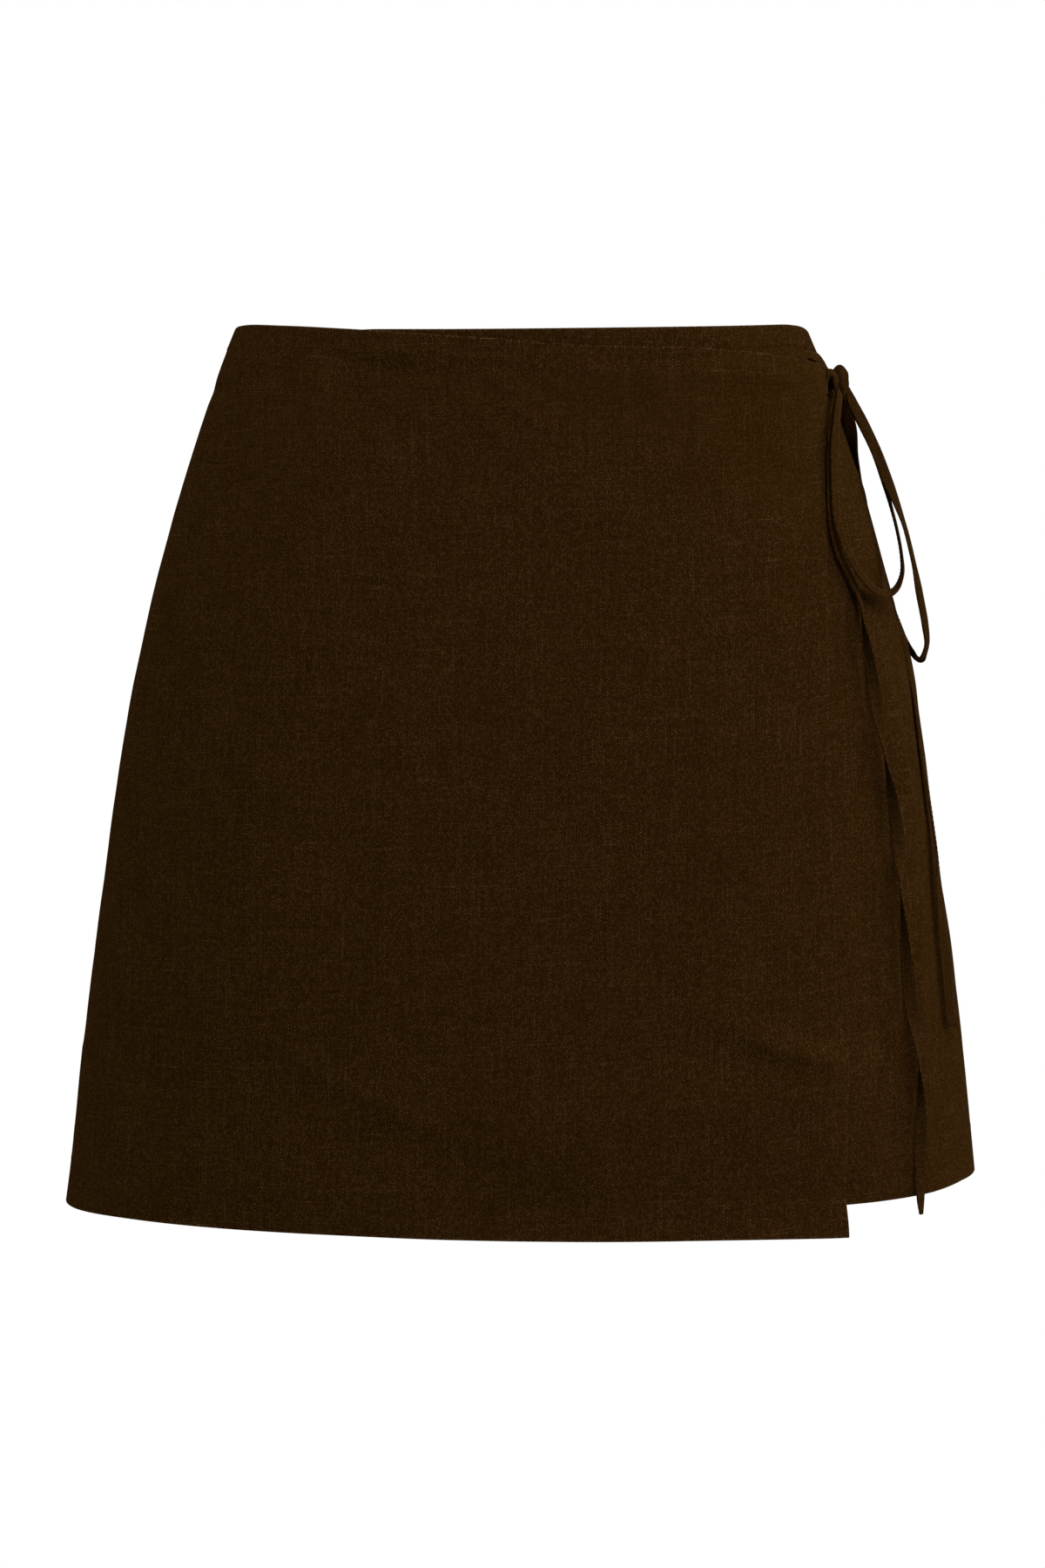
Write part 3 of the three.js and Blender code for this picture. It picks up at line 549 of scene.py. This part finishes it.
def woven_linen(name, colour, warp, weft, sheen):
    """Plain-woven, piece-dyed linen, washed and pressed. Flax threads swell and thin along their length, so
    the eye sees a fine mesh of light dashes with longer, lighter slubs both ways, on a matt ground with the
    faintest bloom at grazing angles."""
    material = bpy.data.materials.new(name)
    material.use_nodes = True
    tree = material.node_tree
    tree.nodes.clear()

    def add(kind, settings=None, links=None):
        return add_node(tree, kind, settings, links)

    def maths(operation, first, second=None, third=None):
        settings, links = {"operation": operation}, {}
        for i, value in enumerate((first, second, third)):
            if isinstance(value, (int, float)):
                settings[i] = value
            elif value is not None:
                links[i] = value
        return add("ShaderNodeMath", settings, links)

    cloth = add("ShaderNodeUVMap", {"uv_map": "cloth"})
    # Threads wander sideways by up to a third of their spacing, over about 50 mm
    drift = add("ShaderNodeTexNoise", {"noise_dimensions": "2D", "Scale": 1 / 0.050, "Detail": 1.0},
                {"Vector": cloth})
    drift = add("ShaderNodeVectorMath", {"operation": "MULTIPLY_ADD", 1: (0.7, 0.7, 0), 2: (-0.35, -0.35, 0)},
                {0: drift.outputs["Color"]})
    threads = add("ShaderNodeVectorMath", {"operation": "MULTIPLY_ADD", 1: (1 / warp, 1 / weft, 0)},
                  {0: cloth, 2: drift})
    split = add("ShaderNodeSeparateXYZ", {}, {0: threads})
    directions = {"warp": (split.outputs[0], split.outputs[1]), "weft": (split.outputs[1], split.outputs[0])}
    # How far apart the threads lie in the noise, so that each has its own, and how much their tones differ
    apart, spread = {"warp": 5.37, "weft": 7.91}, {"warp": 0.5, "weft": 1.0}
    numbers, tops, tones, slubs = {}, {}, {}, {}
    for kind, (sideways, lengthways) in directions.items():
        numbers[kind] = maths("FLOOR", sideways)
        rounding = maths("ABSOLUTE", maths("SINE", maths("MULTIPLY", sideways, math.pi)))
        bulge = maths("ABSOLUTE", maths("SINE", maths("MULTIPLY", lengthways, math.pi)))
        tops[kind] = maths("MULTIPLY", rounding, maths("MULTIPLY_ADD", bulge, 0.45, 0.55))
        # Each thread's own tone changes over about 30 mm of its length, with shorter slubs
        own = add("ShaderNodeCombineXYZ", {}, {0: maths("MULTIPLY", numbers[kind], apart[kind]),
                                               1: maths("MULTIPLY", lengthways, 1 / 45)})
        noise = add("ShaderNodeTexNoise", {"noise_dimensions": "2D", "Scale": 1.0, "Detail": 3.0},
                    {"Vector": own}).outputs["Fac"]
        slubs[kind] = add("ShaderNodeMapRange", {1: 0.64, 2: 0.78, 3: 0.0, 4: 1.0}, {0: noise})
        tones[kind] = maths("MULTIPLY_ADD", noise, spread[kind], 1 - spread[kind] / 2)
    parity = maths("MODULO", maths("ADD", numbers["warp"], numbers["weft"]), 2.0)
    warp_on_top = maths("GREATER_THAN", maths("ABSOLUTE", parity), 0.5)

    def on_top(values):
        return add("ShaderNodeMix", {"data_type": "FLOAT"},
                   {0: warp_on_top, 2: values["weft"], 3: values["warp"]})

    height, tone, slub = on_top(tops), on_top(tones), on_top(slubs)
    cell = add("ShaderNodeCombineXYZ", {}, {0: numbers["warp"], 1: numbers["weft"]})
    fleck = add("ShaderNodeTexWhiteNoise", {"noise_dimensions": "2D"}, {"Vector": cell})
    # Painted glints: the few crossings with the highest noise become much lighter
    painted_glint = maths("POWER", fleck, 5.0)
    patches = add("ShaderNodeTexNoise", {"noise_dimensions": "2D", "Scale": 1 / 0.030, "Detail": 3.0},
                  {"Vector": cloth}).outputs["Fac"]
    edge = add("ShaderNodeAttribute", {"attribute_name": "fold_edge"}).outputs["Fac"]
    # Painted shade between threads, the brighter warp, each thread's and crossing's tone, slubs,
    # painted glints on single crowns, soft patches, a painted highlight along folded edges
    light = maths("MULTIPLY_ADD", height, 0.92, 0.385)
    light = maths("MULTIPLY", light, maths("MULTIPLY_ADD", warp_on_top, 0.45, 0.785))
    light = maths("MULTIPLY", light, tone)
    light = maths("MULTIPLY", light, maths("MULTIPLY_ADD", fleck, 0.46, 0.77))
    light = maths("ADD", light, maths("MULTIPLY", slub, 0.35))
    light = maths("ADD", light, maths("MULTIPLY", painted_glint, 0.25))
    light = maths("MULTIPLY", light, maths("MULTIPLY_ADD", patches, 0.14, 0.93))
    # Painted highlight along folded edges, dotted by the crossings, where their rims catch the light
    fold_highlight = maths("MULTIPLY", edge, maths("MULTIPLY_ADD", fleck, 0.4, 0.05))
    light = maths("MULTIPLY", light, maths("ADD", fold_highlight, 1.0))
    surface_colour = add("ShaderNodeVectorMath", {"operation": "SCALE", 0: tuple(colour)}, {"Scale": light})
    # Painted highlight: where the colour is lightened most, a near-grey is added, as a glint's reflection
    # looks
    painted_glint_grey = maths("MAXIMUM", maths("SUBTRACT", light, 1.15), 0.0)
    surface_colour = add("ShaderNodeVectorMath", {"operation": "MULTIPLY_ADD", 1: (0.010, 0.009, 0.007)},
               {0: painted_glint_grey, 2: surface_colour})
    relief = maths("ADD", height, maths("MULTIPLY", slub, 0.8))
    bump = add("ShaderNodeBump", {"Strength": 0.55, "Distance": 0.22 * MM}, {"Height": relief})
    shader = add("ShaderNodeBsdfPrincipled",
                 {"Roughness": 0.92, "IOR": 1.5, "Specular IOR Level": 0.0, "Sheen Weight": sheen,
                  "Sheen Roughness": 0.45, "Sheen Tint": (*srgb("#8a6a3c"), 1)},
                 {"Base Color": surface_colour, "Normal": bump})
    add("ShaderNodeOutputMaterial", {}, {"Surface": shader})
    return material


def sewing_thread(name, colour):
    """Spun polyester sewing thread, dyed to match. Its tight twist gives fine slanting bands and the least
    gloss."""
    material = bpy.data.materials.new(name)
    material.use_nodes = True
    tree = material.node_tree
    tree.nodes.clear()
    place = add_node(tree, "ShaderNodeTexCoord").outputs["Object"]
    # The real twist is 0.3 mm a turn, and is drawn at 0.5 mm so that it shows
    twist = add_node(tree, "ShaderNodeTexWave",
                     {"Scale": 1 / (0.5 * MM) / 20, "Distortion": 1.5, "Detail": 1.0}, {"Vector": place})
    mottle = add_node(tree, "ShaderNodeMapRange", {3: 0.7, 4: 1.25}, {0: twist})
    surface_colour = add_node(tree, "ShaderNodeVectorMath", {"operation": "SCALE", 0: tuple(colour)}, {"Scale": mottle})
    bump = add_node(tree, "ShaderNodeBump", {"Strength": 0.3, "Distance": 0.05 * MM}, {"Height": twist})
    shader = add_node(tree, "ShaderNodeBsdfPrincipled",
                      {"Roughness": 0.7, "IOR": 1.5, "Specular IOR Level": 0.03},
                      {"Base Color": surface_colour, "Normal": bump})
    add_node(tree, "ShaderNodeOutputMaterial", {}, {"Surface": shader})
    return material


def panel_linen(cloth):
    """The panels' linen, made once."""
    known = bpy.data.materials.get("woven_linen")
    return known or woven_linen("woven_linen", cloth.colour, cloth.warp, cloth.weft, 0.01)


def tape_linen(ties, cloth):
    """The ties' linen, made once. Folded in four and pressed, it shows closer threads."""
    known = bpy.data.materials.get("folded_linen_tape")
    return known or woven_linen("folded_linen_tape", ties.colour, cloth.warp * 0.9, cloth.weft * 0.7, 0.01)


def matching_thread(ties):
    """The sewing thread, made once."""
    known = bpy.data.materials.get("spun_sewing_thread")
    return known or sewing_thread("spun_sewing_thread", ties.thread_colour)


def slit(drop):
    """How many degrees each edge of the left seam draws back where the inner tie comes out. The curve is a
    half sine over the slit's length."""
    reach = np.clip(1 - np.abs(drop - SLIT_DROP) / SLIT_HALF_LENGTH, 0, 1)
    return SLIT_HALF_WIDTH / WAIST_ARC_PER_DEGREE * np.sin(reach * math.pi / 2)


def tie_recess(angle, drop):
    """The cloth round the slit, drawn in by the tie that pulls through it: a smooth hollow 10 mm wide."""
    sideways = (angle - RECESS_ANGLE) * WAIST_ARC_PER_DEGREE / RECESS_REACH
    downwards = (drop - SLIT_DROP) / RECESS_REACH
    return -RECESS_DEPTH * np.exp(-sideways ** 2 - downwards ** 2)


def overlap_lift(angle, drop):
    """The overlap is sewn in at the level of the back and rises over the hidden end of the under front."""
    hidden_end = along(UNDER_HIDDEN_END, "drop", "angle", drop)
    rise = smooth(RIGHT_SEAM_ANGLE, hidden_end - CLEAR_OF_END, angle)
    folds = np.maximum(0, fold_height(OVERLAP_FOLDS, angle, drop))
    return -WALL + (LAYER_LIFT + WALL) * rise + folds


def dart_relief(angle, drop):
    """Fine grooves down the two darts, deepest at the waist, with a slight fullness where each one ends."""
    total = np.zeros(np.broadcast(angle, drop).shape)
    for angle_from, angle_to, length in zip(DARTS["angle_from"], DARTS["angle_to"], DARTS["length"]):
        share = np.clip(drop / length, 0, 1)
        sideways = (angle - angle_from - (angle_to - angle_from) * share) * ARC_PER_DEGREE
        depth = 0.55 * MM * (1 - smooth(0.8, 1.0, share))
        total -= depth * np.exp(-(sideways / (0.9 * MM)) ** 2)
        total += 0.6 * MM * np.exp(-(sideways / 0.014) ** 2 - ((drop - length) / 0.020) ** 2)
    return total


def make_panel(name, cloth, **form):
    """Builds a panel and puts it in its node's place."""
    outside, inside, uv, fold_edge = panel_surfaces(cloth, **form)
    points, faces, (uv, fold_edge) = shell(outside, inside, uv, fold_edge)
    piece = add_piece(name + "_cloth", points, faces, panel_linen(cloth), uv, fold_edge.ravel())
    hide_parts(name)
    return piece


class SKIRT_OT_panels(bpy.types.Operator):
    """Back, under front and overlap as thin shells of linen with turned edges, darts and creases"""
    bl_idname = "skirt.panels"
    bl_label = "Panels"

    def execute(self, context):
        cloth = context.scene.skirt_cloth
        make_panel(
            "back_panel", cloth, top=BACK_TOP, hem=BACK_HEM, creases=BACK_CREASES,
            left=lambda drop: LEFT_SEAM_ANGLE + HALF_GAP + slit(drop),
            right=lambda drop: 360 + RIGHT_SEAM_ANGLE - HALF_GAP,
            lift=lambda angle, drop: -WALL + dart_relief(angle, drop) + tie_recess(angle, drop),
            turnings=(0, 0, cloth.turning, cloth.hem), size=(0.52, 0.40), steps=(230, 138))
        make_panel(
            "front_under", cloth, top=UNDER_TOP, hem=UNDER_HEM, creases=UNDER_CREASES,
            lift=lambda angle, drop: -WALL + tie_recess(angle, drop),
            left=lambda drop: along(UNDER_HIDDEN_END, "drop", "angle", drop),
            right=lambda drop: LEFT_SEAM_ANGLE - HALF_GAP - slit(drop),
            turnings=(cloth.turning, 0, cloth.turning, cloth.hem), size=(0.48, 0.39), steps=(210, 130))
        make_panel(
            "front_overlap", cloth, top=OVERLAP_TOP, hem=OVERLAP_HEM, creases=OVERLAP_CREASES,
            lift=overlap_lift,
            left=lambda drop: RIGHT_SEAM_ANGLE + HALF_GAP,
            right=lambda drop: along(OVERLAP_FREE_EDGE, "drop", "angle", drop),
            turnings=(0, cloth.turning, cloth.turning, cloth.hem), size=(0.40, 0.40), steps=(165, 185))
        return {"FINISHED"}


class SKIRT_OT_seams(bpy.types.Operator):
    """The side seams' edges, pressed open inside"""
    bl_idname = "skirt.seams"
    bl_label = "Side seams"

    def execute(self, context):
        cloth = context.scene.skirt_cloth
        width = 2 * cloth.seam_allowance
        for name, (seam_angle, high, low, has_slit) in SEAMS.items():
            sideways = (places(width, 24, [width / 2]) - 0.5)[None, :] * width
            drop = high + (low - high) * places(low - high, 120, [SLIT_DROP - high])[:, None]
            angle = seam_angle + np.degrees(sideways / along(SECTIONS, "drop", "half_width", drop))
            groove = 0.25 * MM * np.exp(-(sideways / (0.8 * MM)) ** 2)
            # The loose edges wave, each at its own phase
            wave = np.sin(drop / 0.009 + 2 * np.sign(sideways))
            loose = (np.abs(sideways) / cloth.seam_allowance) ** 3
            outside = -ALLOWANCE_DEPTH + 0.12 * MM * loose * wave - groove
            if has_slit:
                pocket = np.exp(-((drop - SLIT_DROP) / 0.0052) ** 2 - (sideways / 0.0042) ** 2)
                outside = outside - POCKET_DEPTH * pocket + tie_recess(angle, drop)
            base = form_point(angle, drop, outside)
            rims = (np.abs(np.abs(sideways) - width / 2), drop - high, low - drop)
            thickness = ALLOWANCE_CLOTH * rounded_rim(rims, ALLOWANCE_CLOTH / 2)
            inner = form_point(angle, drop, outside - thickness)
            uv = np.stack(np.broadcast_arrays(sideways + 0.013, -drop), axis=-1)
            points, faces, (uv,) = shell(base, inner, uv)
            add_piece(name, points, faces, panel_linen(cloth), uv)
        return {"FINISHED"}


def unit(vectors):
    """Each row's direction, with a length of 1."""
    return vectors / np.linalg.norm(vectors, axis=1, keepdims=True)


def distances(route):
    """How far each point of a route lies along it."""
    return np.pad(np.cumsum(np.linalg.norm(np.diff(route, axis=0), axis=1)), (1, 0))


def smooth_route(stations):
    """Points along the stations on a centripetal Catmull-Rom curve, and each point's place from 0 to 1 by
    station: spans weigh by the root of their length, and the curve runs on straight past both ends."""
    knots = np.stack([stations["x"], stations["y"], stations["z"]], axis=1)
    padded = np.concatenate([[2 * knots[0] - knots[1]], knots, [2 * knots[-1] - knots[-2]]])
    p0, p1, p2, p3 = (padded[i:len(padded) - 3 + i, None, :] for i in range(4))
    pairs = ((p0, p1), (p1, p2), (p2, p3))
    t0, t1, t2 = (np.linalg.norm(b - a, axis=2, keepdims=True) ** 0.5 for a, b in pairs)
    start = ((p1 - p0) / t0 - (p2 - p0) / (t0 + t1) + (p2 - p1) / t1) * t1
    end = ((p2 - p1) / t1 - (p3 - p1) / (t1 + t2) + (p3 - p2) / t2) * t1
    steps = 9
    u = (np.arange(steps) / steps)[None, :, None]
    points = np.concatenate([hermite(u, 1, p1, p2, start, end).reshape(-1, 3), knots[-1:]])
    return points, np.linspace(0, 1, len(points))


def tape_frames(stations):
    """The route of a tape with its directions forward, wide and thick, and its width as a share: wide is
    straight back, squared to the route and turned about it by the twist."""
    route, place = smooth_route(stations)
    by_place = {**stations, "place": np.linspace(0, 1, len(stations["x"]))}
    forward = unit(np.gradient(route, axis=0))
    square = unit(BACKWARDS - forward * (forward @ BACKWARDS)[:, None])
    twist = np.radians(along(by_place, "place", "twist", place))[:, None]
    wide = square * np.cos(twist) + np.cross(forward, square) * np.sin(twist)
    return route, forward, wide, np.cross(forward, wide), along(by_place, "place", "width", place)[:, None]


def knot_fold_frames():
    """The same for the fold over the knot. Its middle line is an ellipse from the front over the top to the
    back, y = deep * sin(angle) and z = high * cos(angle), and its width lies level, sideways."""
    fold = KNOT_FOLD
    angle = np.radians(np.linspace(-134, 122, 49))
    route = np.stack([fold["x"] - fold["lean"] * angle, fold["y"] + fold["deep"] * np.sin(angle),
                      fold["z"] + fold["high"] * np.cos(angle)], axis=1)
    forward = unit(np.gradient(route, axis=0))
    wide = unit(SIDEWAYS - forward * forward[:, :1])
    share = 1.18 - 0.55 * np.abs(angle / angle[0])[:, None] ** 3
    return route, forward, wide, np.cross(forward, wide), share


def ring_faces(count, sides):
    """Faces of a tube of rings, and two fans that close its ends towards two more points."""
    index = np.arange(count * sides).reshape(count, sides)
    following = np.roll(index, -1, axis=1)
    first_tip, last_tip = np.full(sides, count * sides), np.full(sides, count * sides + 1)
    return [grid_faces(np.concatenate([index, index[:, :1]], axis=1)),
            np.stack([first_tip, index[0], following[0]], axis=-1),
            np.stack([last_tip, following[-1], index[-1]], axis=-1)]


def tape_body(frames, ties, curl=0.0, fullness=0.3):
    """A folded tape as a tube: its section is a rounded oblong, w = cos^fullness and t = sin^0.55 of an angle
    with their signs, pinched a little along the stitching 1 mm in from each edge. Its edges bend inwards by
    curl times w^2. Both ends are closed to a point."""
    route, forward, wide, thick, share = frames
    turn = np.linspace(0, 2 * math.pi, BOW_SECTION_SIDES, endpoint=False) + math.pi / BOW_SECTION_SIDES
    w = np.sign(np.cos(turn)) * np.abs(np.cos(turn)) ** fullness
    t = np.sign(np.sin(turn)) * np.abs(np.sin(turn)) ** 0.55
    t = t * (1 - 0.16 * np.exp(-((np.abs(w) - 0.66) / 0.12) ** 2))
    travelled = distances(route)[:, None]
    half = ties.width / 2 * share * (1 + 0.03 * np.sin(travelled / 0.0061))
    gathered = ties.thickness / 2 * (1 + 0.35 * (1 - share))
    rings = (route[:, None, :] + wide[:, None, :] * (half * w)[:, :, None]
             + thick[:, None, :] * (gathered * t + curl * w ** 2)[:, :, None])
    uv = np.stack(np.broadcast_arrays(half * w, travelled), axis=-1).reshape(-1, 2)
    points = np.concatenate([rings.reshape(-1, 3), route[[0, -1]]])
    uv = np.concatenate([uv, [[0, 0], [0, float(travelled[-1, 0])]]])
    return points, [faces[:, ::-1] for faces in ring_faces(len(route), BOW_SECTION_SIDES)], uv, route


def stitches(centres, forward, sideways, length, thickness):
    """Many stitches in one mesh. Each is a six-sided bead of five rings, with the radius
    thickness / 2 * sin(angle)^0.6 about its length, bedded in the cloth by half."""
    angle = np.linspace(0.12, math.pi - 0.12, 5)[:, None]
    turn = np.linspace(0, 2 * math.pi, 6, endpoint=False)[None, :]
    radius = np.sin(angle) ** 0.6 * thickness / 2
    shares = (-np.cos(angle) * length / 2 + 0 * turn, radius * np.cos(turn), radius * np.sin(turn))
    points = centres[:, None, None, :] + sum(
        share[None, :, :, None] * direction[:, None, None, :]
        for share, direction in zip(shares, (forward, sideways, np.cross(forward, sideways))))
    index = np.arange(5 * 6).reshape(5, 6)
    one = ring_faces(5, 6)[0][:, ::-1]
    caps = np.stack([index[0][::-1], index[-1]])[:, ::-1]
    shift = (np.arange(len(centres)) * 30)[:, None, None]
    return points.reshape(-1, 3), [(one[None] + shift).reshape(-1, 4), (caps[None] + shift).reshape(-1, 6)]


def tape_stitching(name, stations, ties):
    """Stitches on both faces of a tape, 1 mm in from the edge that was sewn."""
    route, forward, wide, thick, share = tape_frames(stations)
    travelled = distances(route)
    at = np.arange(ties.stitch_spacing, travelled[-1] - ties.stitch_spacing, ties.stitch_spacing)

    def pick(values):
        return np.stack([np.interp(at, travelled, column) for column in values.T], axis=1)

    here, ahead, across, out, width = (pick(values) for values in (route, forward, wide, thick, share))
    inset = ties.width / 2 * width - 1.0 * MM * width
    surface = ties.thickness / 2 * (1 + 0.35 * (1 - width)) * 0.86
    bodies = [stitches(here + across * inset + out * surface * side, ahead, across, ties.stitch, ties.thread)
              for side in (-1, 1)]
    shift = len(bodies[0][0])
    points = np.concatenate([body[0] for body in bodies])
    faces = bodies[0][1] + [group + shift for group in bodies[1][1]]
    return add_piece(name, points, faces, matching_thread(ties))


def make_tape(node, stations, scene):
    """Builds a tape with its stitching and puts it in its node's place."""
    points, faces, uv, route = tape_body(tape_frames(stations), scene.skirt_ties)
    linen = tape_linen(scene.skirt_ties, scene.skirt_cloth)
    tape = add_piece(node + "_tape", points, faces, linen, uv)
    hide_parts(node)
    return tape, tape_stitching(node + "_stitching", stations, scene.skirt_ties), route


class SKIRT_OT_bow(bpy.types.Operator):
    """The bow's loops and tails, as tapes along their listed routes, with their stitching"""
    bl_idname = "skirt.bow"
    bl_label = "Bow"

    def execute(self, context):
        for node, (stations, length, far_end) in CORDS.items():
            tape, stitching, route = make_tape(node, stations, context.scene)
        return {"FINISHED"}


class SKIRT_OT_roots(bpy.types.Operator):
    """The two ties from where they are sewn on to the knot"""
    bl_idname = "skirt.roots"
    bl_label = "Tie roots"

    def execute(self, context):
        for node, stations in (("tie_overlap", TIE_OVERLAP_ROOT), ("tie_side", TIE_SIDE_ROOT)):
            make_tape(node, stations, context.scene)
        return {"FINISHED"}


class SKIRT_OT_knot(bpy.types.Operator):
    """The knot: a tight core, a ring of tape in front of it and a fold over its outer side"""
    bl_idname = "skirt.knot"
    bl_label = "Knot"

    def execute(self, context):
        ties, cloth = context.scene.skirt_ties, context.scene.skirt_cloth
        # The core is an ellipsoid, x, y, z = its radii times the cosine and sine products of two angles
        level = np.linspace(0, math.pi, 18)[:, None]
        turn = np.linspace(0, 2 * math.pi, 28)[None, :-1]
        ball = np.stack(np.broadcast_arrays(np.sin(level) * np.cos(turn), np.sin(level) * np.sin(turn),
                                            np.cos(level)), axis=-1)
        core = (KNOT_CENTRE + KNOT_RADII * ball)[1:-1]
        poles = KNOT_CENTRE + KNOT_RADII * [[0, 0, 1], [0, 0, -1]]
        points = [np.concatenate([core.reshape(-1, 3), poles])]
        faces = ring_faces(*core.shape[:2])
        uv = [np.stack([points[0][:, 0], points[0][:, 2]], axis=-1)]
        count = len(points[0])
        ring = tape_body(tape_frames(KNOT_RING), ties)
        fold = tape_body(knot_fold_frames(), ties, KNOT_FOLD["curl"], KNOT_FOLD["fullness"])
        for body, body_faces, body_uv, _ in (ring, fold):
            points.append(body)
            faces += [group + count for group in body_faces]
            uv.append(body_uv)
            count += len(body)
        linen = tape_linen(ties, cloth)
        piece = add_piece("bow_knot_folds", np.concatenate(points), faces, linen,
                          np.concatenate(uv))
        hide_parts("bow_knot")
        return {"FINISHED"}


class SKIRT_OT_tacks(bpy.types.Operator):
    """Bar tacks that close the side seam above and below the slit for the inner tie"""
    bl_idname = "skirt.tacks"
    bl_label = "Bar tacks"

    def execute(self, context):
        ties = context.scene.skirt_ties
        # Nine stitches above the slit and nine below it, each set 2 mm high
        middles = SLIT_DROP + np.array((-1, 1)) * (SLIT_HALF_LENGTH + 0.9 * MM)
        drops = (middles[:, None] + np.linspace(-1.0, 1.0, 9) * MM).ravel()
        seam, beside = np.full(len(drops), LEFT_SEAM_ANGLE), np.full(len(drops), LEFT_SEAM_ANGLE + 1)
        out = tie_recess(seam, drops) - 0.15 * MM
        centres = form_point(seam, drops, out)
        ahead = unit(form_point(beside, drops, out) - centres)
        upright = np.broadcast_to((0.0, 0.0, 1.0), ahead.shape)
        points, faces = stitches(centres, ahead, upright, 3.4 * MM, ties.thread)
        add_piece("slit_bar_tacks", points, faces, matching_thread(ties))
        return {"FINISHED"}


class SKIRT_OT_stage(bpy.types.Operator):
    """Camera at the photograph's angle, pale floor and soft studio light"""
    bl_idname = "skirt.stage"
    bl_label = "Stage"

    def execute(self, context):
        stage, scene = context.scene.skirt_stage, context.scene
        camera = bpy.data.objects.new("camera", bpy.data.cameras.new("camera"))
        camera.data.sensor_fit = "AUTO"
        camera.data.sensor_width = 36
        camera.data.lens = stage.lens
        camera.data.clip_end = 60
        camera.location = (stage.sideways, -stage.distance, stage.height)
        camera.rotation_euler = (math.pi / 2 + math.atan2(stage.aim - stage.height, stage.distance), 0, 0)
        scene.collection.objects.link(camera)
        scene.camera = camera
        scene.view_settings.view_transform = "Standard"

        turn = np.linspace(0, 2 * math.pi, stage.floor_sides, endpoint=False)
        rim = np.stack([np.cos(turn), np.sin(turn), 0 * turn], axis=1) * stage.floor_radius
        mesh = bpy.data.meshes.new("floor")
        mesh.from_pydata((rim - [0, 0, stage.floor_drop]).tolist(), [], [list(range(stage.floor_sides))])
        floor = bpy.data.objects.new("floor", mesh)
        scene.collection.objects.link(floor)
        paint = bpy.data.materials.new("matt_white_floor_paint")
        paint.use_nodes = True
        tree = paint.node_tree
        tree.nodes.clear()
        # Matt studio paint, scuffed a little: the tone drifts by a few hundredths over a metre
        place = add_node(tree, "ShaderNodeTexCoord").outputs["Object"]
        drift = add_node(tree, "ShaderNodeTexNoise", {"Scale": 1.2}, {"Vector": place}).outputs["Fac"]
        tone = add_node(tree, "ShaderNodeMapRange", {3: 0.86, 4: 0.90}, {0: drift})
        shader = add_node(tree, "ShaderNodeBsdfPrincipled",
                          {"Roughness": 0.9, "Emission Color": (1, 1, 1, 1), "Emission Strength": 0.15},
                          {"Base Color": tone})
        add_node(tree, "ShaderNodeOutputMaterial", {}, {"Surface": shader})
        mesh.materials.append(paint)

        world = bpy.data.worlds.new("surround")
        world.use_nodes = True
        background = world.node_tree.nodes["Background"]
        background.inputs["Color"].default_value = (1, 1, 1, 1)
        background.inputs["Strength"].default_value = stage.surround
        scene.world = world

        for name, place in LAMPS.items():
            lamp = bpy.data.lights.new(name, "AREA")
            lamp.shape = "DISK"
            lamp.size = stage.lamp
            lamp.energy = getattr(stage, name)
            light = bpy.data.objects.new(name, lamp)
            light.location = place
            light.rotation_mode = "QUATERNION"
            towards = Vector(LAMPS_AIM) - Vector(place)
            light.rotation_quaternion = towards.to_track_quat("-Z", "Y")
            scene.collection.objects.link(light)
        return {"FINISHED"}


OPERATORS = (SKIRT_OT_stage, SKIRT_OT_bow, SKIRT_OT_panels, SKIRT_OT_seams, SKIRT_OT_roots, SKIRT_OT_knot,
             SKIRT_OT_tacks)


class SKIRT_PT_panel(bpy.types.Panel):
    """Lists the skirt's pieces in the sidebar."""
    bl_idname = "SKIRT_PT_panel"
    bl_label = "Wrap skirt"
    bl_space_type = "VIEW_3D"
    bl_region_type = "UI"
    bl_category = "Wrap skirt"

    def draw(self, context):
        for operator in OPERATORS:
            self.layout.operator(operator.bl_idname)
        for group in (context.scene.skirt_cloth, context.scene.skirt_ties, context.scene.skirt_stage):
            for name in group.__annotations__:
                self.layout.prop(group, name)


GROUPS = {"skirt_cloth": SkirtCloth, "skirt_ties": SkirtTies, "skirt_stage": SkirtStage}


def register():
    for kind in (*GROUPS.values(), *OPERATORS, SKIRT_PT_panel):
        bpy.utils.register_class(kind)
    for name, group in GROUPS.items():
        setattr(bpy.types.Scene, name, PointerProperty(type=group))


def unregister():
    for name in GROUPS:
        delattr(bpy.types.Scene, name)
    for kind in reversed((*GROUPS.values(), *OPERATORS, SKIRT_PT_panel)):
        bpy.utils.unregister_class(kind)


def main():
    """Makes the camera and the bow first, then the rest."""
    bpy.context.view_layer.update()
    register()
    for operator in OPERATORS:
        group, name = operator.bl_idname.split(".")
        getattr(getattr(bpy.ops, group), name)()


if __name__ == "__main__":
    main()
